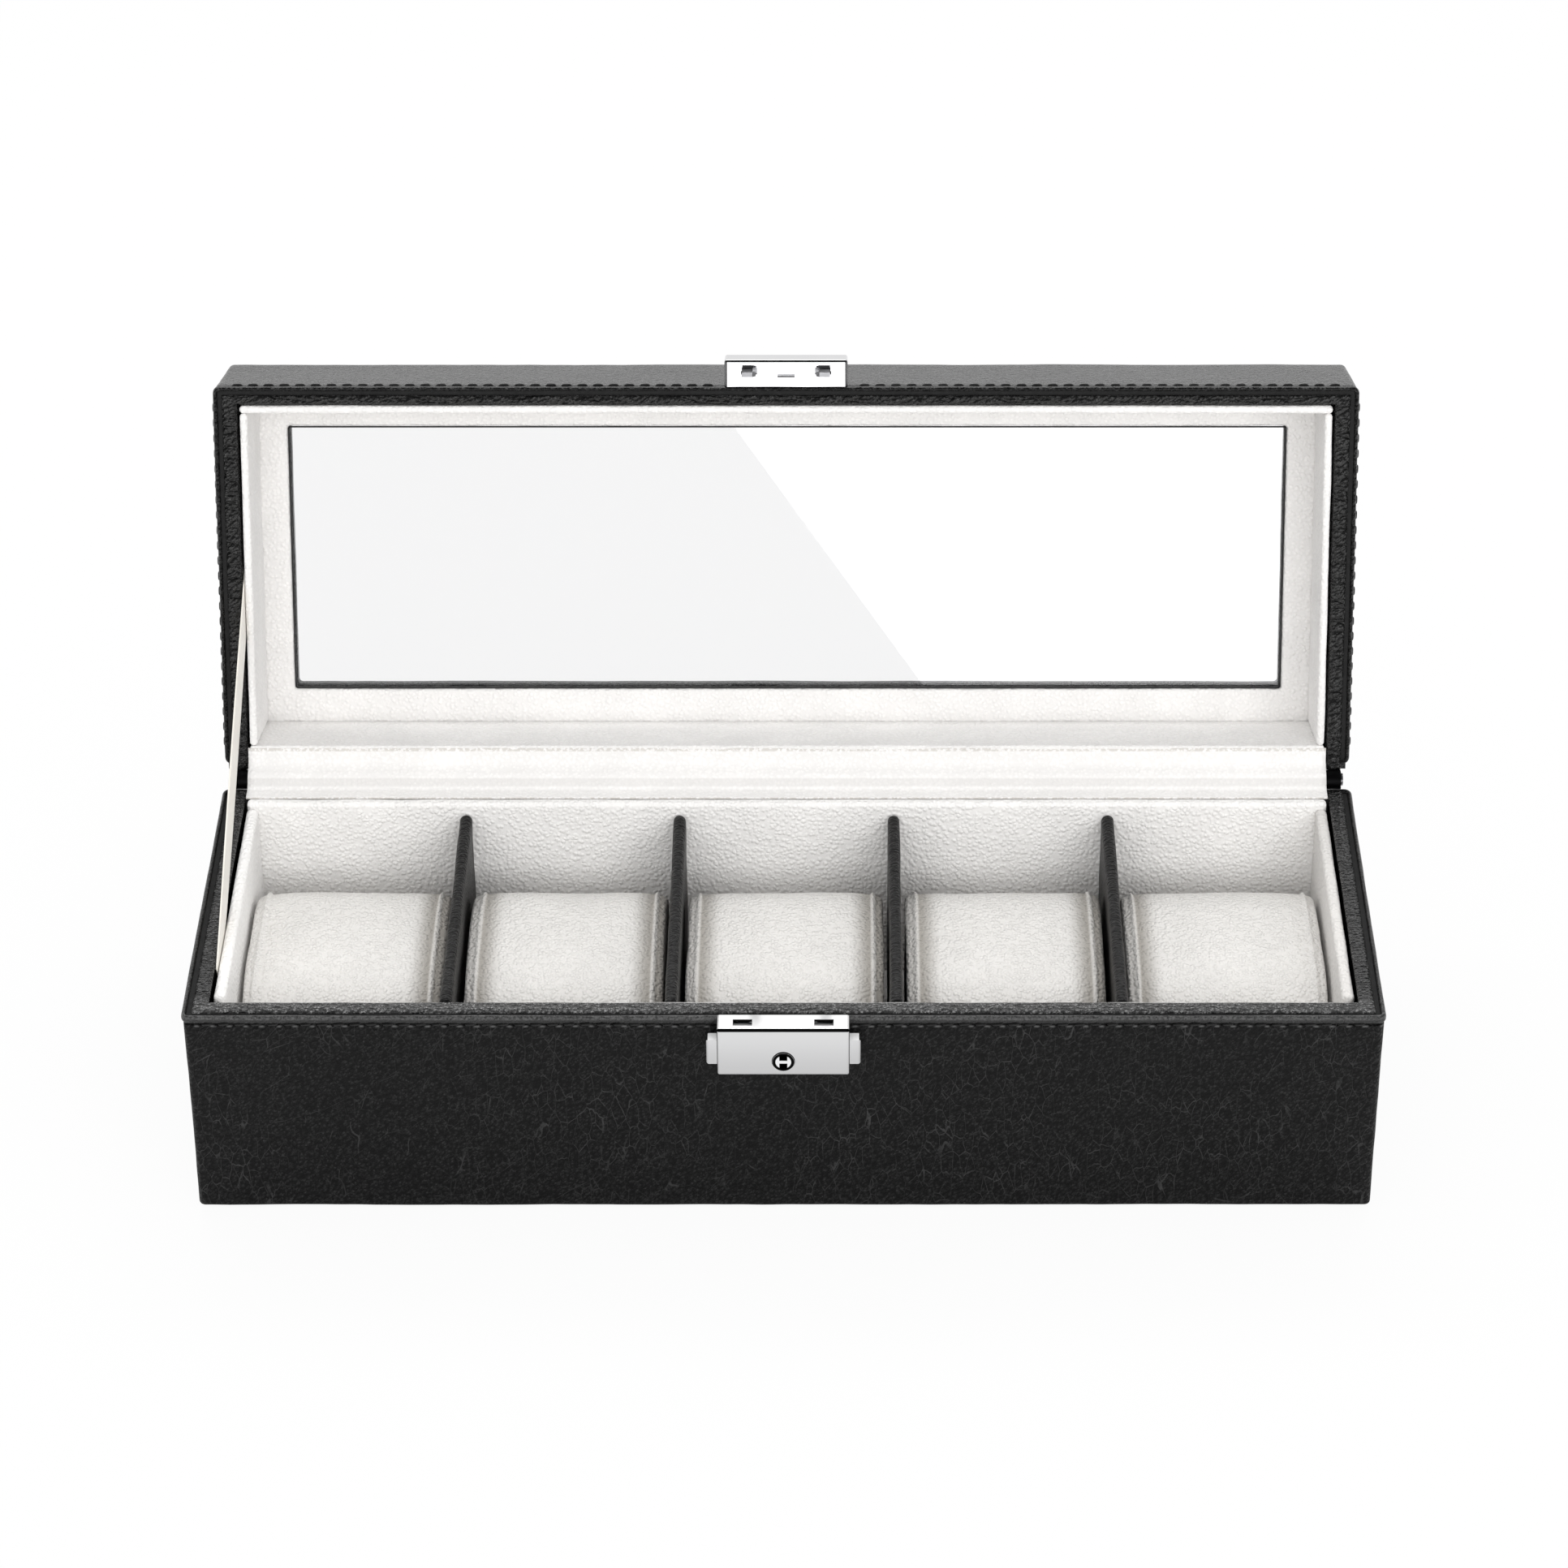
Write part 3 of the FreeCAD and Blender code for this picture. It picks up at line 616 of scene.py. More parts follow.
def window_bead(material):
    """The thin black bead along the velvet frame's opening."""
    low = shut_box("lid_lining_top")[0]
    rings = []
    for step in range(bead_sides):
        angle = 2 * math.pi * step / bead_sides
        inset = bead_width / 2 * (1 + math.cos(angle))
        rings.append(window_ring(-inset, low.z + bead_depth * (1 + math.sin(angle))))
    add_piece("window_bead", swept(rings, True), material, "lid", on_lid=True)


# Cushions: a squared-off round, fuller below, with a sewn ridge near each end
cushion_power = 3.5
cushion_foot_power = 8.0
cushion_spread = 0.6
cushion_rows = 120
cushion_loops = 120
cushion_waves = ((0.35, 17, 3.7), (0.06, 3, 1.3))
ridge_inset = 2.7
ridge_height = 0.8
ridge_width = 0.55
valley_depth = 0.35
valley_half = 2.0
cap_pull = 1.0
side_fall = 0.35
side_fall_power = 8


def cushion_draw(distance, half):
    """How far a cushion's sides and top are drawn in at a distance from its middle."""
    seam = half - ridge_inset
    ridge = ridge_height * math.exp(-(((seam - distance) / ridge_width) ** 2))
    fall = side_fall * min(distance / seam, 1.0) ** side_fall_power
    if distance <= seam:
        inward = valley_depth * math.exp((distance - seam) / valley_half) - ridge
    else:
        share = (distance - seam) / ridge_inset
        inward = valley_depth + cap_pull * (1 - math.sqrt(max(1 - share ** 2, 0.0))) - ridge
    return inward, inward + fall


def cushion(number, material):
    """A watch cushion: crowned, with a sewn ridge and a drawn-in cap at each end."""
    node = f"cushion_{number}"
    low, high = rest_box(node)
    middle = (low + high) / 2
    half = (high - low) / 2
    half.x += cushion_spread
    rings = []
    for row in range(cushion_rows + 1):
        distance = half.x * (2 * row / cushion_rows - 1)
        side_draw, top_draw = cushion_draw(abs(distance), half.x)
        ring = []
        for step in range(cushion_loops):
            angle = 2 * math.pi * step / cushion_loops
            y, z = math.cos(angle), math.sin(angle)
            power = cushion_foot_power if z < 0 else cushion_power
            reach = (abs(y) ** power + abs(z) ** power) ** (-1 / power)
            y *= reach
            z *= reach
            height = half.z - (top_draw if z > 0 else side_draw / 2)
            ring.append(Vector((middle.x + distance, y * (half.y - side_draw), middle.z + z * height)))
        rings.append(ring)
    piece = add_piece(f"{node}_suede", tube(rings), material, node, [node])
    uneven(piece, cushion_waves, number)


# Velvet strip over the hinge
strip_thickness = 0.45
strip_lift = 0.75
barrel_radius = 2.6
barrel_ease = 0.2
leaf_thickness = 0.5
leaf_face = hinge_z - base_leaf_foot - leaf_thickness
strip_landing = 5.2
strip_lead = 1.3
strip_pull = 0.8
strip_across = 150
strip_flat_steps = 6
strip_bend_steps = 12
strip_barrel_steps = 4


def strip_line():
    """The strip's middle line from the base rim over the open hinge to the lid rim, as (y, z)."""
    half_turn = math.radians(-hinge["range_deg"][0] / 2)
    flat = -leaf_face + strip_thickness / 2
    radius = barrel_radius + barrel_ease + strip_thickness / 2
    lift = half_turn * strip_lift
    meet = Vector((radius * math.cos(lift), radius * math.sin(lift)))
    corners = [
        Vector((strip_landing, flat)),
        Vector((strip_landing - strip_lead, flat)),
        meet + strip_pull * Vector((math.sin(lift), -math.cos(lift))),
        meet,
    ]
    base_end = hinge_y - rest_box("hinge_velvet_strip")[0].y
    curve = []
    for step in range(strip_flat_steps):
        curve.append(Vector((mixed(base_end, strip_landing, step / strip_flat_steps), flat)))
    for step in range(strip_bend_steps + 1):
        t = step / strip_bend_steps
        weights = ((1 - t) ** 3, 3 * t * (1 - t) ** 2, 3 * t * t * (1 - t), t ** 3)
        curve.append(sum((c * w for c, w in zip(corners, weights)), Vector((0, 0))))
    for step in range(1, strip_barrel_steps + 1):
        angle = mixed(lift, half_turn, step / strip_barrel_steps)
        curve.append(radius * Vector((math.cos(angle), math.sin(angle))))
    line = [(hinge_y - p.x, hinge_z + p.y) for p in curve]
    for p in reversed(curve[:-1]):
        angle = 2 * half_turn - math.atan2(p.y, p.x)
        line.append((hinge_y - p.length * math.cos(angle), hinge_z + p.length * math.sin(angle)))
    return line


def hinge_strip(material):
    """The velvet strip that hides the hinge inside the box, bending from base to lid."""
    line = strip_line()
    over = []
    under = []
    for index, (y, z) in enumerate(line):
        before, after = line[max(index - 1, 0)], line[min(index + 1, len(line) - 1)]
        normal = Vector((before[1] - after[1], after[0] - before[0])).normalized() * strip_thickness / 2
        over.append((y + normal.x, z + normal.y))
        under.append((y - normal.x, z - normal.y))
    across = [mixed(-leaf_half, leaf_half, step / strip_across) for step in range(strip_across + 1)]
    rings = [[Vector((x, y, z)) for x in across] for y, z in over + under[::-1]]
    skin = swept(rings, False)
    piece = add_piece("hinge_strip_velvet", skin, material, None, ["hinge_velvet_strip"])
    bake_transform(piece)


# Ribbon stay
ribbon_width = 10.0
ribbon_thickness = 0.35
ribbon_tuck = 12.0
ribbon_twist = 1.8
ribbon_steps = 80
ribbon_across = 8
ribbon_base_exit = -16.5
ribbon_lid_reach = 41.6
ribbon_lid_start = 1.2


def ribbon(material):
    """The satin ribbon on the left that stops the lid, twisted a little between its two slots."""
    low, high = rest_box("ribbon_stay")
    x = (low.x + high.x) / 2
    start = Vector((x, ribbon_base_exit, base_rim))
    shut_end = Vector((x, board_y + ribbon_lid_start - ribbon_lid_reach, lid_rim))
    end = lid_turn @ (shut_end * MM) / MM
    along = (end - start).normalized()
    side = Vector((1, 0, 0))
    broad = side.cross(along)
    free = (end - start).length
    half = ribbon_width / 2
    widths = [mixed(-half, half, step / ribbon_across) for step in range(ribbon_across + 1)]
    profile = [(width, ribbon_thickness / 2) for width in widths]
    profile += [(width, -depth) for width, depth in reversed(profile)]
    rings = []
    for width, depth in profile:
        ring = []
        for step in range(ribbon_steps + 1):
            distance = mixed(-ribbon_tuck, free + ribbon_tuck, step / ribbon_steps)
            share = min(max(distance / free, 0.0), 1.0)
            twist = math.radians(ribbon_twist) * math.sin(math.pi * share)
            out = side * math.cos(twist) + broad * math.sin(twist)
            wide = broad * math.cos(twist) - side * math.sin(twist)
            ring.append(start + along * distance + wide * width + out * depth)
        rings.append(ring)
    skin = swept(rings, False)
    piece = add_piece("ribbon_stay_satin", skin, material, None, ["ribbon_stay"])
    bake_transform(piece)


def lock_springs(material):
    """The lock's two folded springs, copied onto the base. In the lock they close up as the buttons are
    pressed.
    """
    for side, sign in (("left", -1), ("right", 1)):
        node = f"lock_spring_{side}"
        piece = add_object(f"{node}_strip", nodes[node].data.copy())
        piece.data.materials.clear()
        piece.data.materials.append(material)
        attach(piece, "base")
        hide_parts(node)
        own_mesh(piece)


# Materials
noise_middle = 0.5


class Nodes:
    """A node tree, with short calls to add and join nodes."""

    def __init__(self, tree):
        self.tree = tree

    def node(self, kind, links=None, **values):
        """A node with some of its inputs set or linked, and its own properties."""
        made = self.tree.nodes.new(kind)
        for key, value in values.items():
            if hasattr(made, key):
                setattr(made, key, value)
            else:
                made.inputs[key.replace("_", " ")].default_value = value
        for key, source in (links or {}).items():
            self.tree.links.new(source, made.inputs[key])
        return made

    def axes(self, vector):
        """The three values of a vector."""
        return list(self.node("ShaderNodeSeparateXYZ", {0: vector}).outputs)

    def math(self, operation, a, b=None):
        """A sum, product or other step on one or two values."""
        made = self.node("ShaderNodeMath", operation=operation)
        for index, value in enumerate((a, b)):
            if value is None:
                continue
            if isinstance(value, (int, float)):
                made.inputs[index].default_value = value
            else:
                self.tree.links.new(value, made.inputs[index])
        return made.outputs[0]

    def product(self, first, *others):
        """Several values multiplied."""
        for value in others:
            first = self.math("MULTIPLY", first, value)
        return first

    def span(self, value, low, high, to_low=0.0, to_high=1.0):
        """Maps a range of values softly onto another."""
        made = self.node(
            "ShaderNodeMapRange",
            {"Value": value},
            interpolation_type="SMOOTHSTEP",
            From_Min=low,
            From_Max=high,
            To_Min=to_low,
            To_Max=to_high,
        )
        return made.outputs["Result"]


class Shader(Nodes):
    """A material's nodes. Sizes are in millimetres."""

    def __init__(self, name):
        self.material = bpy.data.materials.new(name)
        self.material.use_nodes = True
        super().__init__(self.material.node_tree)
        self.surface = self.tree.nodes["Principled BSDF"]

    def set(self, **values):
        """Sets plain values on the surface shader's sockets."""
        for key, value in values.items():
            self.surface.inputs[key.replace("_", " ")].default_value = value

    def link(self, source, socket):
        """Links a node's output to one of the surface shader's sockets."""
        self.tree.links.new(source, self.surface.inputs[socket])

    def tint(self, share, low, high):
        """Gives the surface a colour between two colours."""
        made = self.node("ShaderNodeMix", {"Factor": share}, data_type="RGBA")
        made.inputs[6].default_value = (*low, 1)
        made.inputs[7].default_value = (*high, 1)
        self.link(made.outputs[2], "Base Color")

    def paint(self, share, colour):
        """Lays a plain colour over the surface's own colour in places."""
        source = self.surface.inputs["Base Color"].links[0].from_socket
        made = self.node("ShaderNodeMix", {0: share, 6: source}, data_type="RGBA")
        made.inputs[7].default_value = (*colour, 1)
        self.link(made.outputs[2], "Base Color")

    def place(self):
        """The object's own coordinates, in metres."""
        return self.node("ShaderNodeTexCoord").outputs["Object"]

    def noise(self, vector, size, detail=2.0, roughness=0.5):
        """Soft noise with features of a size."""
        scale = 1 / (size * MM)
        links = {"Vector": vector}
        made = self.node("ShaderNodeTexNoise", links, Scale=scale, Detail=detail, Roughness=roughness)
        return made.outputs["Fac"]

    def cells(self, vector, size, feature="F1"):
        """A cell pattern with cells of a size."""
        scale = 1 / (size * MM)
        made = self.node("ShaderNodeTexVoronoi", {"Vector": vector}, feature=feature, Scale=scale)
        return made.outputs["Distance"]

    def above(self, value, limit, soft):
        """1 where a length is above a limit and 0 where it is below."""
        return self.span(value, (limit - soft) * MM, (limit + soft) * MM)

    def below(self, value, limit, soft):
        """1 where a length is below a limit and 0 where it is above."""
        return self.span(value, (limit + soft) * MM, (limit - soft) * MM)

    def warped(self, vector, size, amount):
        """Coordinates pushed about by noise of a size, by an amount."""
        push = self.node("ShaderNodeTexNoise", {"Vector": vector}, Scale=1 / (size * MM), Detail=2.0)
        centred = self.node("ShaderNodeVectorMath", {0: push.outputs["Color"]}, operation="SUBTRACT")
        centred.inputs[1].default_value = (noise_middle,) * 3
        links = {0: centred.outputs[0]}
        scaled = self.node("ShaderNodeVectorMath", links, operation="SCALE", Scale=2 * amount * MM)
        moved = self.node("ShaderNodeVectorMath", {0: vector, 1: scaled.outputs[0]}, operation="ADD")
        return moved.outputs[0]

    def stretched(self, vector, scale):
        """Coordinates scaled by a different share along each axis."""
        return self.node("ShaderNodeMapping", {"Vector": vector}, Scale=scale).outputs[0]

    def turned(self, vector, angles):
        """Coordinates turned about the three axes, in degrees."""
        turn = [math.radians(angle) for angle in angles]
        return self.node("ShaderNodeMapping", {"Vector": vector}, Rotation=turn).outputs[0]

    def bump(self, height, depth, sunk=False):
        """Lays relief of a depth over the relief that the surface has."""
        made = self.node("ShaderNodeBump", {"Height": height}, Distance=depth * MM, invert=sunk)
        for link in self.surface.inputs["Normal"].links:
            self.tree.links.new(link.from_socket, made.inputs["Normal"])
        self.link(made.outputs["Normal"], "Normal")


# Leather finish: pebbles drawn out on the slant, with long creases and a net of small ones. A span
# holds the two values that a mask runs between, and after them what it makes of those values
grain_slant = 42
grain_draw = (0.6, 1, 1)
grain_dark_share = 0.08
fine_share = 0.5
break_draw = (0.4, 1, 1)
long_draw = (0.35, 1, 1)
long_size = 7.0
long_width = (0.011, 0.003)
long_break_span = (0.46, 0.62)
long_patch_span = (0.56, 0.4, 0.0, 0.7)
net_draw = (1, 1, 0.42)
net_size = 2.5
net_width = (0.034, 0.01)
net_break_span = (0.32, 0.68, 0.05, 0.85)
net_patch_span = (0.36, 0.62, 0.25, 1.0)
speck_fine_span = (0.35, 0.75)
speck_pebble_span = (0.7, 0.1)
shine_fine_span = (0.25, 0.75)
shine_below = 0.06
shine_above = 0.1
crease_tone = (0.045, 0.045, 0.045)
crease_depth = 0.12
fine_depth = 0.08
cross_draw = (0.12, 1.0, 0.3)
cross_width = 0.04


def creases(shader, bent, size, width, *masks):
    """Thin lines along the edges of cells, faded by masks."""
    edges = shader.cells(bent, size, "DISTANCE_TO_EDGE")
    return shader.product(shader.span(edges, *width), *masks)


def leather_material(name, grain, crease, shine, relief, pale, gloss, cross=0.0):
    """Black pebbled leather with fine pale creases, and sunk cross creases of a depth where asked."""
    shader = Shader(name)
    place = shader.place()
    slanted = shader.turned(place, (0, grain_slant, 0))
    drawn = shader.stretched(slanted, grain_draw)
    pebbles = shader.cells(shader.warped(drawn, size=2.6, amount=0.45), grain)
    fine = shader.noise(place, grain * fine_share, detail=3.0, roughness=0.6)
    patches = shader.noise(place, size=36)
    breaks = shader.noise(shader.stretched(slanted, break_draw), size=4.0, detail=3.0, roughness=0.6)
    long_bent = shader.warped(shader.stretched(slanted, long_draw), size=9, amount=1.6)
    long_masks = (shader.span(breaks, *long_break_span), shader.span(patches, *long_patch_span))
    long_lines = creases(shader, long_bent, long_size, long_width, *long_masks)
    net_bent = shader.warped(shader.stretched(place, net_draw), size=3.4, amount=0.8)
    net_masks = (shader.span(breaks, *net_break_span), shader.span(patches, *net_patch_span))
    net_lines = creases(shader, net_bent, net_size, net_width, *net_masks)
    lines = shader.product(shader.math("MAXIMUM", long_lines, net_lines), crease)
    # Pebble tops paler by pale: a faint grain tone on most leather, a painted highlight on the rims
    specks = shader.product(shader.span(fine, *speck_fine_span), shader.span(pebbles, *speck_pebble_span))
    shader.tint(specks, (pale * grain_dark_share,) * 3, (pale,) * 3)
    shader.paint(lines, crease_tone)
    rough = shader.span(fine, *shine_fine_span, shine - shine_below, shine + shine_above)
    shader.link(rough, "Roughness")
    shader.set(Specular_IOR_Level=gloss)
    shader.bump(pebbles, relief, True)
    shader.bump(fine, fine_depth)
    shader.bump(lines, crease_depth)
    if cross:
        across = shader.noise(shader.stretched(place, cross_draw), size=2.4, detail=3.0)
        from_middle = shader.math("ABSOLUTE", shader.math("SUBTRACT", across, noise_middle))
        shader.bump(shader.span(from_middle, cross_width, 0.0), cross, True)
    return shader


# The base's welt and rims. Their painted highlights and painted shade follow the photograph
welt_gloss = 0.55
welt_gloss_fade = 0.5
welt_highlight_from = 1.15
welt_highlight_to = 0.5
welt_highlight_tone = (0.085, 0.085, 0.085)
welt_grain_span = (0.35, 0.65, 0.25, 1.0)
pucker_highlight_tone = (0.085, 0.085, 0.085)
pucker_low = 3.35
pucker_high = 2.85
pucker_soft = 0.2
pucker_wander = 0.3
pucker_gap_span = (0.26, 0.46)
front_rim_from = 42.0
front_rim_to = 45.0
side_rim_unshaded_share = 0.18
rim_gloss = 0.6
groove_from = 0.5
groove_to = 0.9
groove_painted_shade = (0.003, 0.003, 0.003)


def welt_finish(shader, gloss):
    """A glossier welt, with painted highlights along the front roll's top and between the front stitches.
    """
    place = shader.place()
    across, depth, height = shader.axes(place)
    roll = (base_rim - groove_depth) * MM
    shine = shader.span(height, roll, roll + welt_gloss_fade * MM, gloss, welt_gloss)
    shader.link(shine, "Specular IOR Level")
    # Painted highlights on the leather between the front stitches
    along = shader.math("DIVIDE", across, stitch_pitch * MM)
    wavy = shader.math("ADD", along, shader.product(shader.noise(place, size=2.0), pucker_wander))
    gap = shader.span(shader.math("PINGPONG", wavy, 0.5), *pucker_gap_span)
    front = shader.math("LESS_THAN", depth, (leather - board_y) * MM)
    low = shader.above(height, base_rim - pucker_low, pucker_soft)
    high = shader.below(height, base_rim - pucker_high, pucker_soft)
    shader.paint(shader.product(gap, front, low, high), pucker_highlight_tone)
    # Painted highlight along the top of the welt's front roll
    fine = shader.noise(place, size=0.6, detail=3.0, roughness=0.6)
    grain = shader.span(fine, *welt_grain_span)
    pale = shader.span(height, (base_rim - welt_highlight_from) * MM, (base_rim - welt_highlight_to) * MM)
    shader.paint(shader.product(pale, grain, front), welt_highlight_tone)
    return shader.material


def rim_finish(shader):
    """Painted shade that makes the side rims darker than the front one, and the groove beside the welt
    black.
    """
    depth, height = shader.axes(shader.place())[1:]
    # Painted shade on the side rims and in the groove beside the welt
    side = shader.span(depth, -front_rim_to * MM, -front_rim_from * MM, 0.0, 1 - side_rim_unshaded_share)
    sunk = shader.span(height, (base_rim - groove_from) * MM, (base_rim - groove_to) * MM)
    shader.paint(shader.math("MAXIMUM", side, sunk), groove_painted_shade)
    shader.link(shader.span(sunk, 0.0, 1.0, rim_gloss, 0.0), "Specular IOR Level")
    return shader.material


# Fabrics. The painted shade beside the dividers and in the strip's fold, and the strip's hems, follow the
# photograph
cloud_share = 0.7
pebble_share = 0.3
cloth_dark_share = 0.92
cloth_span = (0.3, 0.7)
pebble_span = (0.75, 0.1)
pile_depth = 0.06
shade_from = 16.0
shade_to = 22.2
shade_share = 0.85
shade_tone = (0.34, 0.315, 0.28)
ridge_core = 0.3
ridge_half = 0.95
ridge_shade_share = 0.3
left_cap_shade_share = 0.3
fold_low = 61.9
fold_high = 63.6
fold_soft = 0.25
fold_shade_tone = (0.62, 0.605, 0.59)
fold_shade_share = 0.45
hem_width = 0.35
hem_thread_and_shadow_tone = (0.45, 0.41, 0.35)
hem_thread_and_shadow_share = 0.45
hem_dot_span = (0.4, 0.55)
satin_low = (0.86, 0.82, 0.74)
satin_high = (0.92, 0.89, 0.83)
satin_depth = 0.02


def velvet_material(name, colour, pebble, depth):
    """Short-pile fabric: pale, matt and pebbled, with a soft sheen."""
    shader = Shader(name)
    place = shader.place()
    bent = shader.warped(place, size=2, amount=0.35)
    pebbles = shader.span(shader.cells(bent, pebble), *pebble_span)
    pile = shader.noise(place, size=0.3, roughness=0.6)
    clouds = shader.product(shader.noise(place, size=14), cloud_share)
    tone = shader.math("ADD", clouds, shader.product(pebbles, pebble_share))
    darker = tuple(channel * cloth_dark_share for channel in colour)
    shader.tint(shader.span(tone, *cloth_span), darker, colour)
    shader.set(Roughness=0.95, Specular_IOR_Level=0.1, Sheen_Weight=0.2, Sheen_Roughness=0.5)
    shader.bump(pebbles, depth)
    shader.bump(pile, pile_depth)
    return shader


def cushion_shade(shader):
    """Painted shade on the suede beside the dividers, lifted on the sewn ridges and the left end caps."""
    low, high = rest_box("cushion_1")
    first = (low.x + high.x) / 2
    second = sum(corner.x for corner in rest_box("cushion_2")) / 2
    pitch = second - first
    seam = (high.x - low.x) / 2 + cushion_spread - ridge_inset
    across = shader.axes(shader.place())[0]
    start = shader.math("SUBTRACT", across, (first - pitch / 2) * MM)
    offset = shader.math("SUBTRACT", shader.math("FLOORED_MODULO", start, pitch * MM), pitch / 2 * MM)
    distance = shader.math("ABSOLUTE", offset)
    # Painted shade beside the dividers, less of it on the sewn ridges and the left end caps
    shade = shader.span(distance, shade_from * MM, shade_to * MM, 0.0, shade_share)
    from_ridge = shader.math("ABSOLUTE", shader.math("SUBTRACT", distance, seam * MM))
    ridge = shader.span(from_ridge, ridge_core * MM, ridge_half * MM, ridge_shade_share, 1.0)
    left_cap = shader.span(offset, -seam * MM, -(seam + ridge_core) * MM, 1.0, left_cap_shade_share)
    inner = shader.math("LESS_THAN", shader.math("ABSOLUTE", across), -first * MM)
    shader.paint(shader.product(shade, ridge, left_cap, inner), shade_tone)
    return shader.material


def strip_shade(shader):
    """Painted shade in the fold in front of the hinge, and dotted hems on both edges, partly painted
    shadow.
    """
    place = shader.place()
    depth, height = shader.axes(place)[1:]
    # Painted shade in the strip's fold in front of the hinge
    above = shader.above(height, fold_low, fold_soft)
    below = shader.below(height, fold_high, fold_soft)
    shader.paint(shader.product(above, below, fold_shade_share), fold_shade_tone)
    low, high = rest_box("hinge_velvet_strip")
    base_hem = shader.span(depth, (low.y + hem_width) * MM, (low.y + hem_width / 2) * MM)
    lid_hem = shader.span(height, (high.z - hem_width) * MM, (high.z - hem_width / 2) * MM)
    # Dotted hems: thread dots and painted shadow under the strip's two edges
    dots = shader.span(shader.noise(place, size=0.9), *hem_dot_span, 0.0, hem_thread_and_shadow_share)
    shader.paint(shader.product(shader.math("MAXIMUM", base_hem, lid_hem), dots), hem_thread_and_shadow_tone)
    return shader.material


def satin_material():
    """Cream ribbon with a fine grain."""
    shader = Shader("ribbon_satin")
    threads = shader.noise(shader.place(), size=0.5)
    shader.tint(threads, satin_low, satin_high)
    shader.set(Roughness=0.42, Sheen_Weight=0.2)
    shader.bump(threads, satin_depth)
    return shader.material


# Metals. The lock's painted reflections and edge line, and the key barrel's painted shade, follow the
# photograph
plating = ((0.9, 0.9, 0.91), 0.045, 0.002)
# Painted shade: the strike's plating is a darker copy of the lock's
shaded_strike_plating = ((0.6, 0.6, 0.61), 0.045, 0.002)
bare_steel = ((0.6, 0.6, 0.62), 0.25, 0.006)
blackened_steel = ((0.03, 0.03, 0.032), 0.35, 0.006)
scratch_draw = (0.06, 1, 1)
metal_dark_share = 0.94
metal_rough_spread = 1.5
smudge_span = (0.3, 0.7)
case_top_metallic = 0.5
button_top_metallic = 0.0
front_reflection_bright = (0.74, 0.74, 0.745)
front_reflection_dim = (0.6, 0.6, 0.605)
top_painted_highlight = (0.98, 0.98, 0.98)
edge_reflection_dark = (0.01, 0.01, 0.01)
edge_line = 0.75
top_facing = (0.9, 0.97)
rounded_facing = (0.12, 0.25)
upright_facing = (0.97, 0.92)
front_facing = (-0.15, -0.3)
mask_soft = 0.05
core_ring = (1.95, 2.72)
keyway_half = 1.0
keyway_bar_half = 0.42
keyway_sink = 0.15
bore_painted_shade = (0.004, 0.004, 0.004)


def metal_material(name, colour, rough, scratch):
    """Plated or bare metal with faint drawn scratches."""
    shader = Shader(name)
    place = shader.place()
    drawn = shader.noise(shader.stretched(place, scratch_draw), size=0.5, detail=3.0)
    smudge = shader.noise(place, size=9)
    darker = tuple(channel * metal_dark_share for channel in colour)
    shader.tint(smudge, darker, colour)
    shader.set(Metallic=1.0)
    shader.link(shader.span(smudge, *smudge_span, rough, rough * metal_rough_spread), "Roughness")
    shader.bump(drawn, scratch)
    return shader


def lock_chrome(name, node, top_metallic):
    """Chrome with a painted highlight on top and painted reflections: dimming down the front, dark along
    its top edge.
    """
    shader = metal_material(name, *plating)
    low, high = rest_box(node)
    height = shader.axes(shader.place())[2]
    # Painted reflection, dimmer down the front
    shader.tint(shader.span(height, low.z * MM, high.z * MM), front_reflection_dim, front_reflection_bright)
    forward, upward = shader.axes(shader.node("ShaderNodeNewGeometry").outputs["Normal"])[1:]
    top = shader.span(upward, *top_facing)
    # Painted highlight on the top
    shader.paint(top, top_painted_highlight)
    # Painted dark reflection along the front's top edge
    rounded = shader.span(upward, *rounded_facing)
    line = shader.above(height, high.z - edge_line, mask_soft)
    front = shader.product(shader.span(upward, *upright_facing), shader.span(forward, *front_facing))
    shader.paint(shader.product(shader.math("MAXIMUM", rounded, line), front), edge_reflection_dark)
    shader.link(shader.span(top, 0.0, 1.0, 1.0, top_metallic), "Metallic")
    return shader.material


def key_core_material():
    """The key barrel's chrome, with painted black shade in its keyway and in a ring round it."""
    shader = metal_material("chrome_core", *plating)
    low, high = rest_box("lock_core")
    middle = (low + high) / 2
    x, y, z = shader.axes(shader.place())
    across = shader.math("ABSOLUTE", shader.math("SUBTRACT", x, middle.x * MM))
    upwards = shader.math("ABSOLUTE", shader.math("SUBTRACT", z, middle.z * MM))
    squares = [shader.product(side, side) for side in (across, upwards)]
    radius = shader.math("SQRT", shader.math("ADD", *squares))
    within = shader.below(radius, core_ring[1], mask_soft)
    ring = shader.product(shader.above(radius, core_ring[0], mask_soft), within)
    notch = shader.below(across, keyway_half, mask_soft)
    notch = shader.product(notch, shader.above(upwards, keyway_bar_half, mask_soft), within)
    bore = shader.above(y, low.y + keyway_sink, mask_soft)
    # Painted shade in the keyway, behind the face and in the ring round the barrel
    shader.paint(shader.math("MAXIMUM", shader.math("MAXIMUM", ring, notch), bore), bore_painted_shade)
    return shader.material


# Glass and plain finishes
glass_tint = (0.945, 0.945, 0.948, 1)
glass_index = 1.46
dust_span = (0.4, 0.7)
dust_rough = 0.015


def glass_material():
    """Clear window glass, faintly dusty."""
    shader = Shader("window_glass")
    dust = shader.noise(shader.place(), size=30, detail=3.0)
    shader.link(shader.span(dust, *dust_span, 0.0, dust_rough), "Roughness")
    shader.set(Base_Color=glass_tint, Transmission_Weight=1.0, IOR=glass_index)
    return shader.material


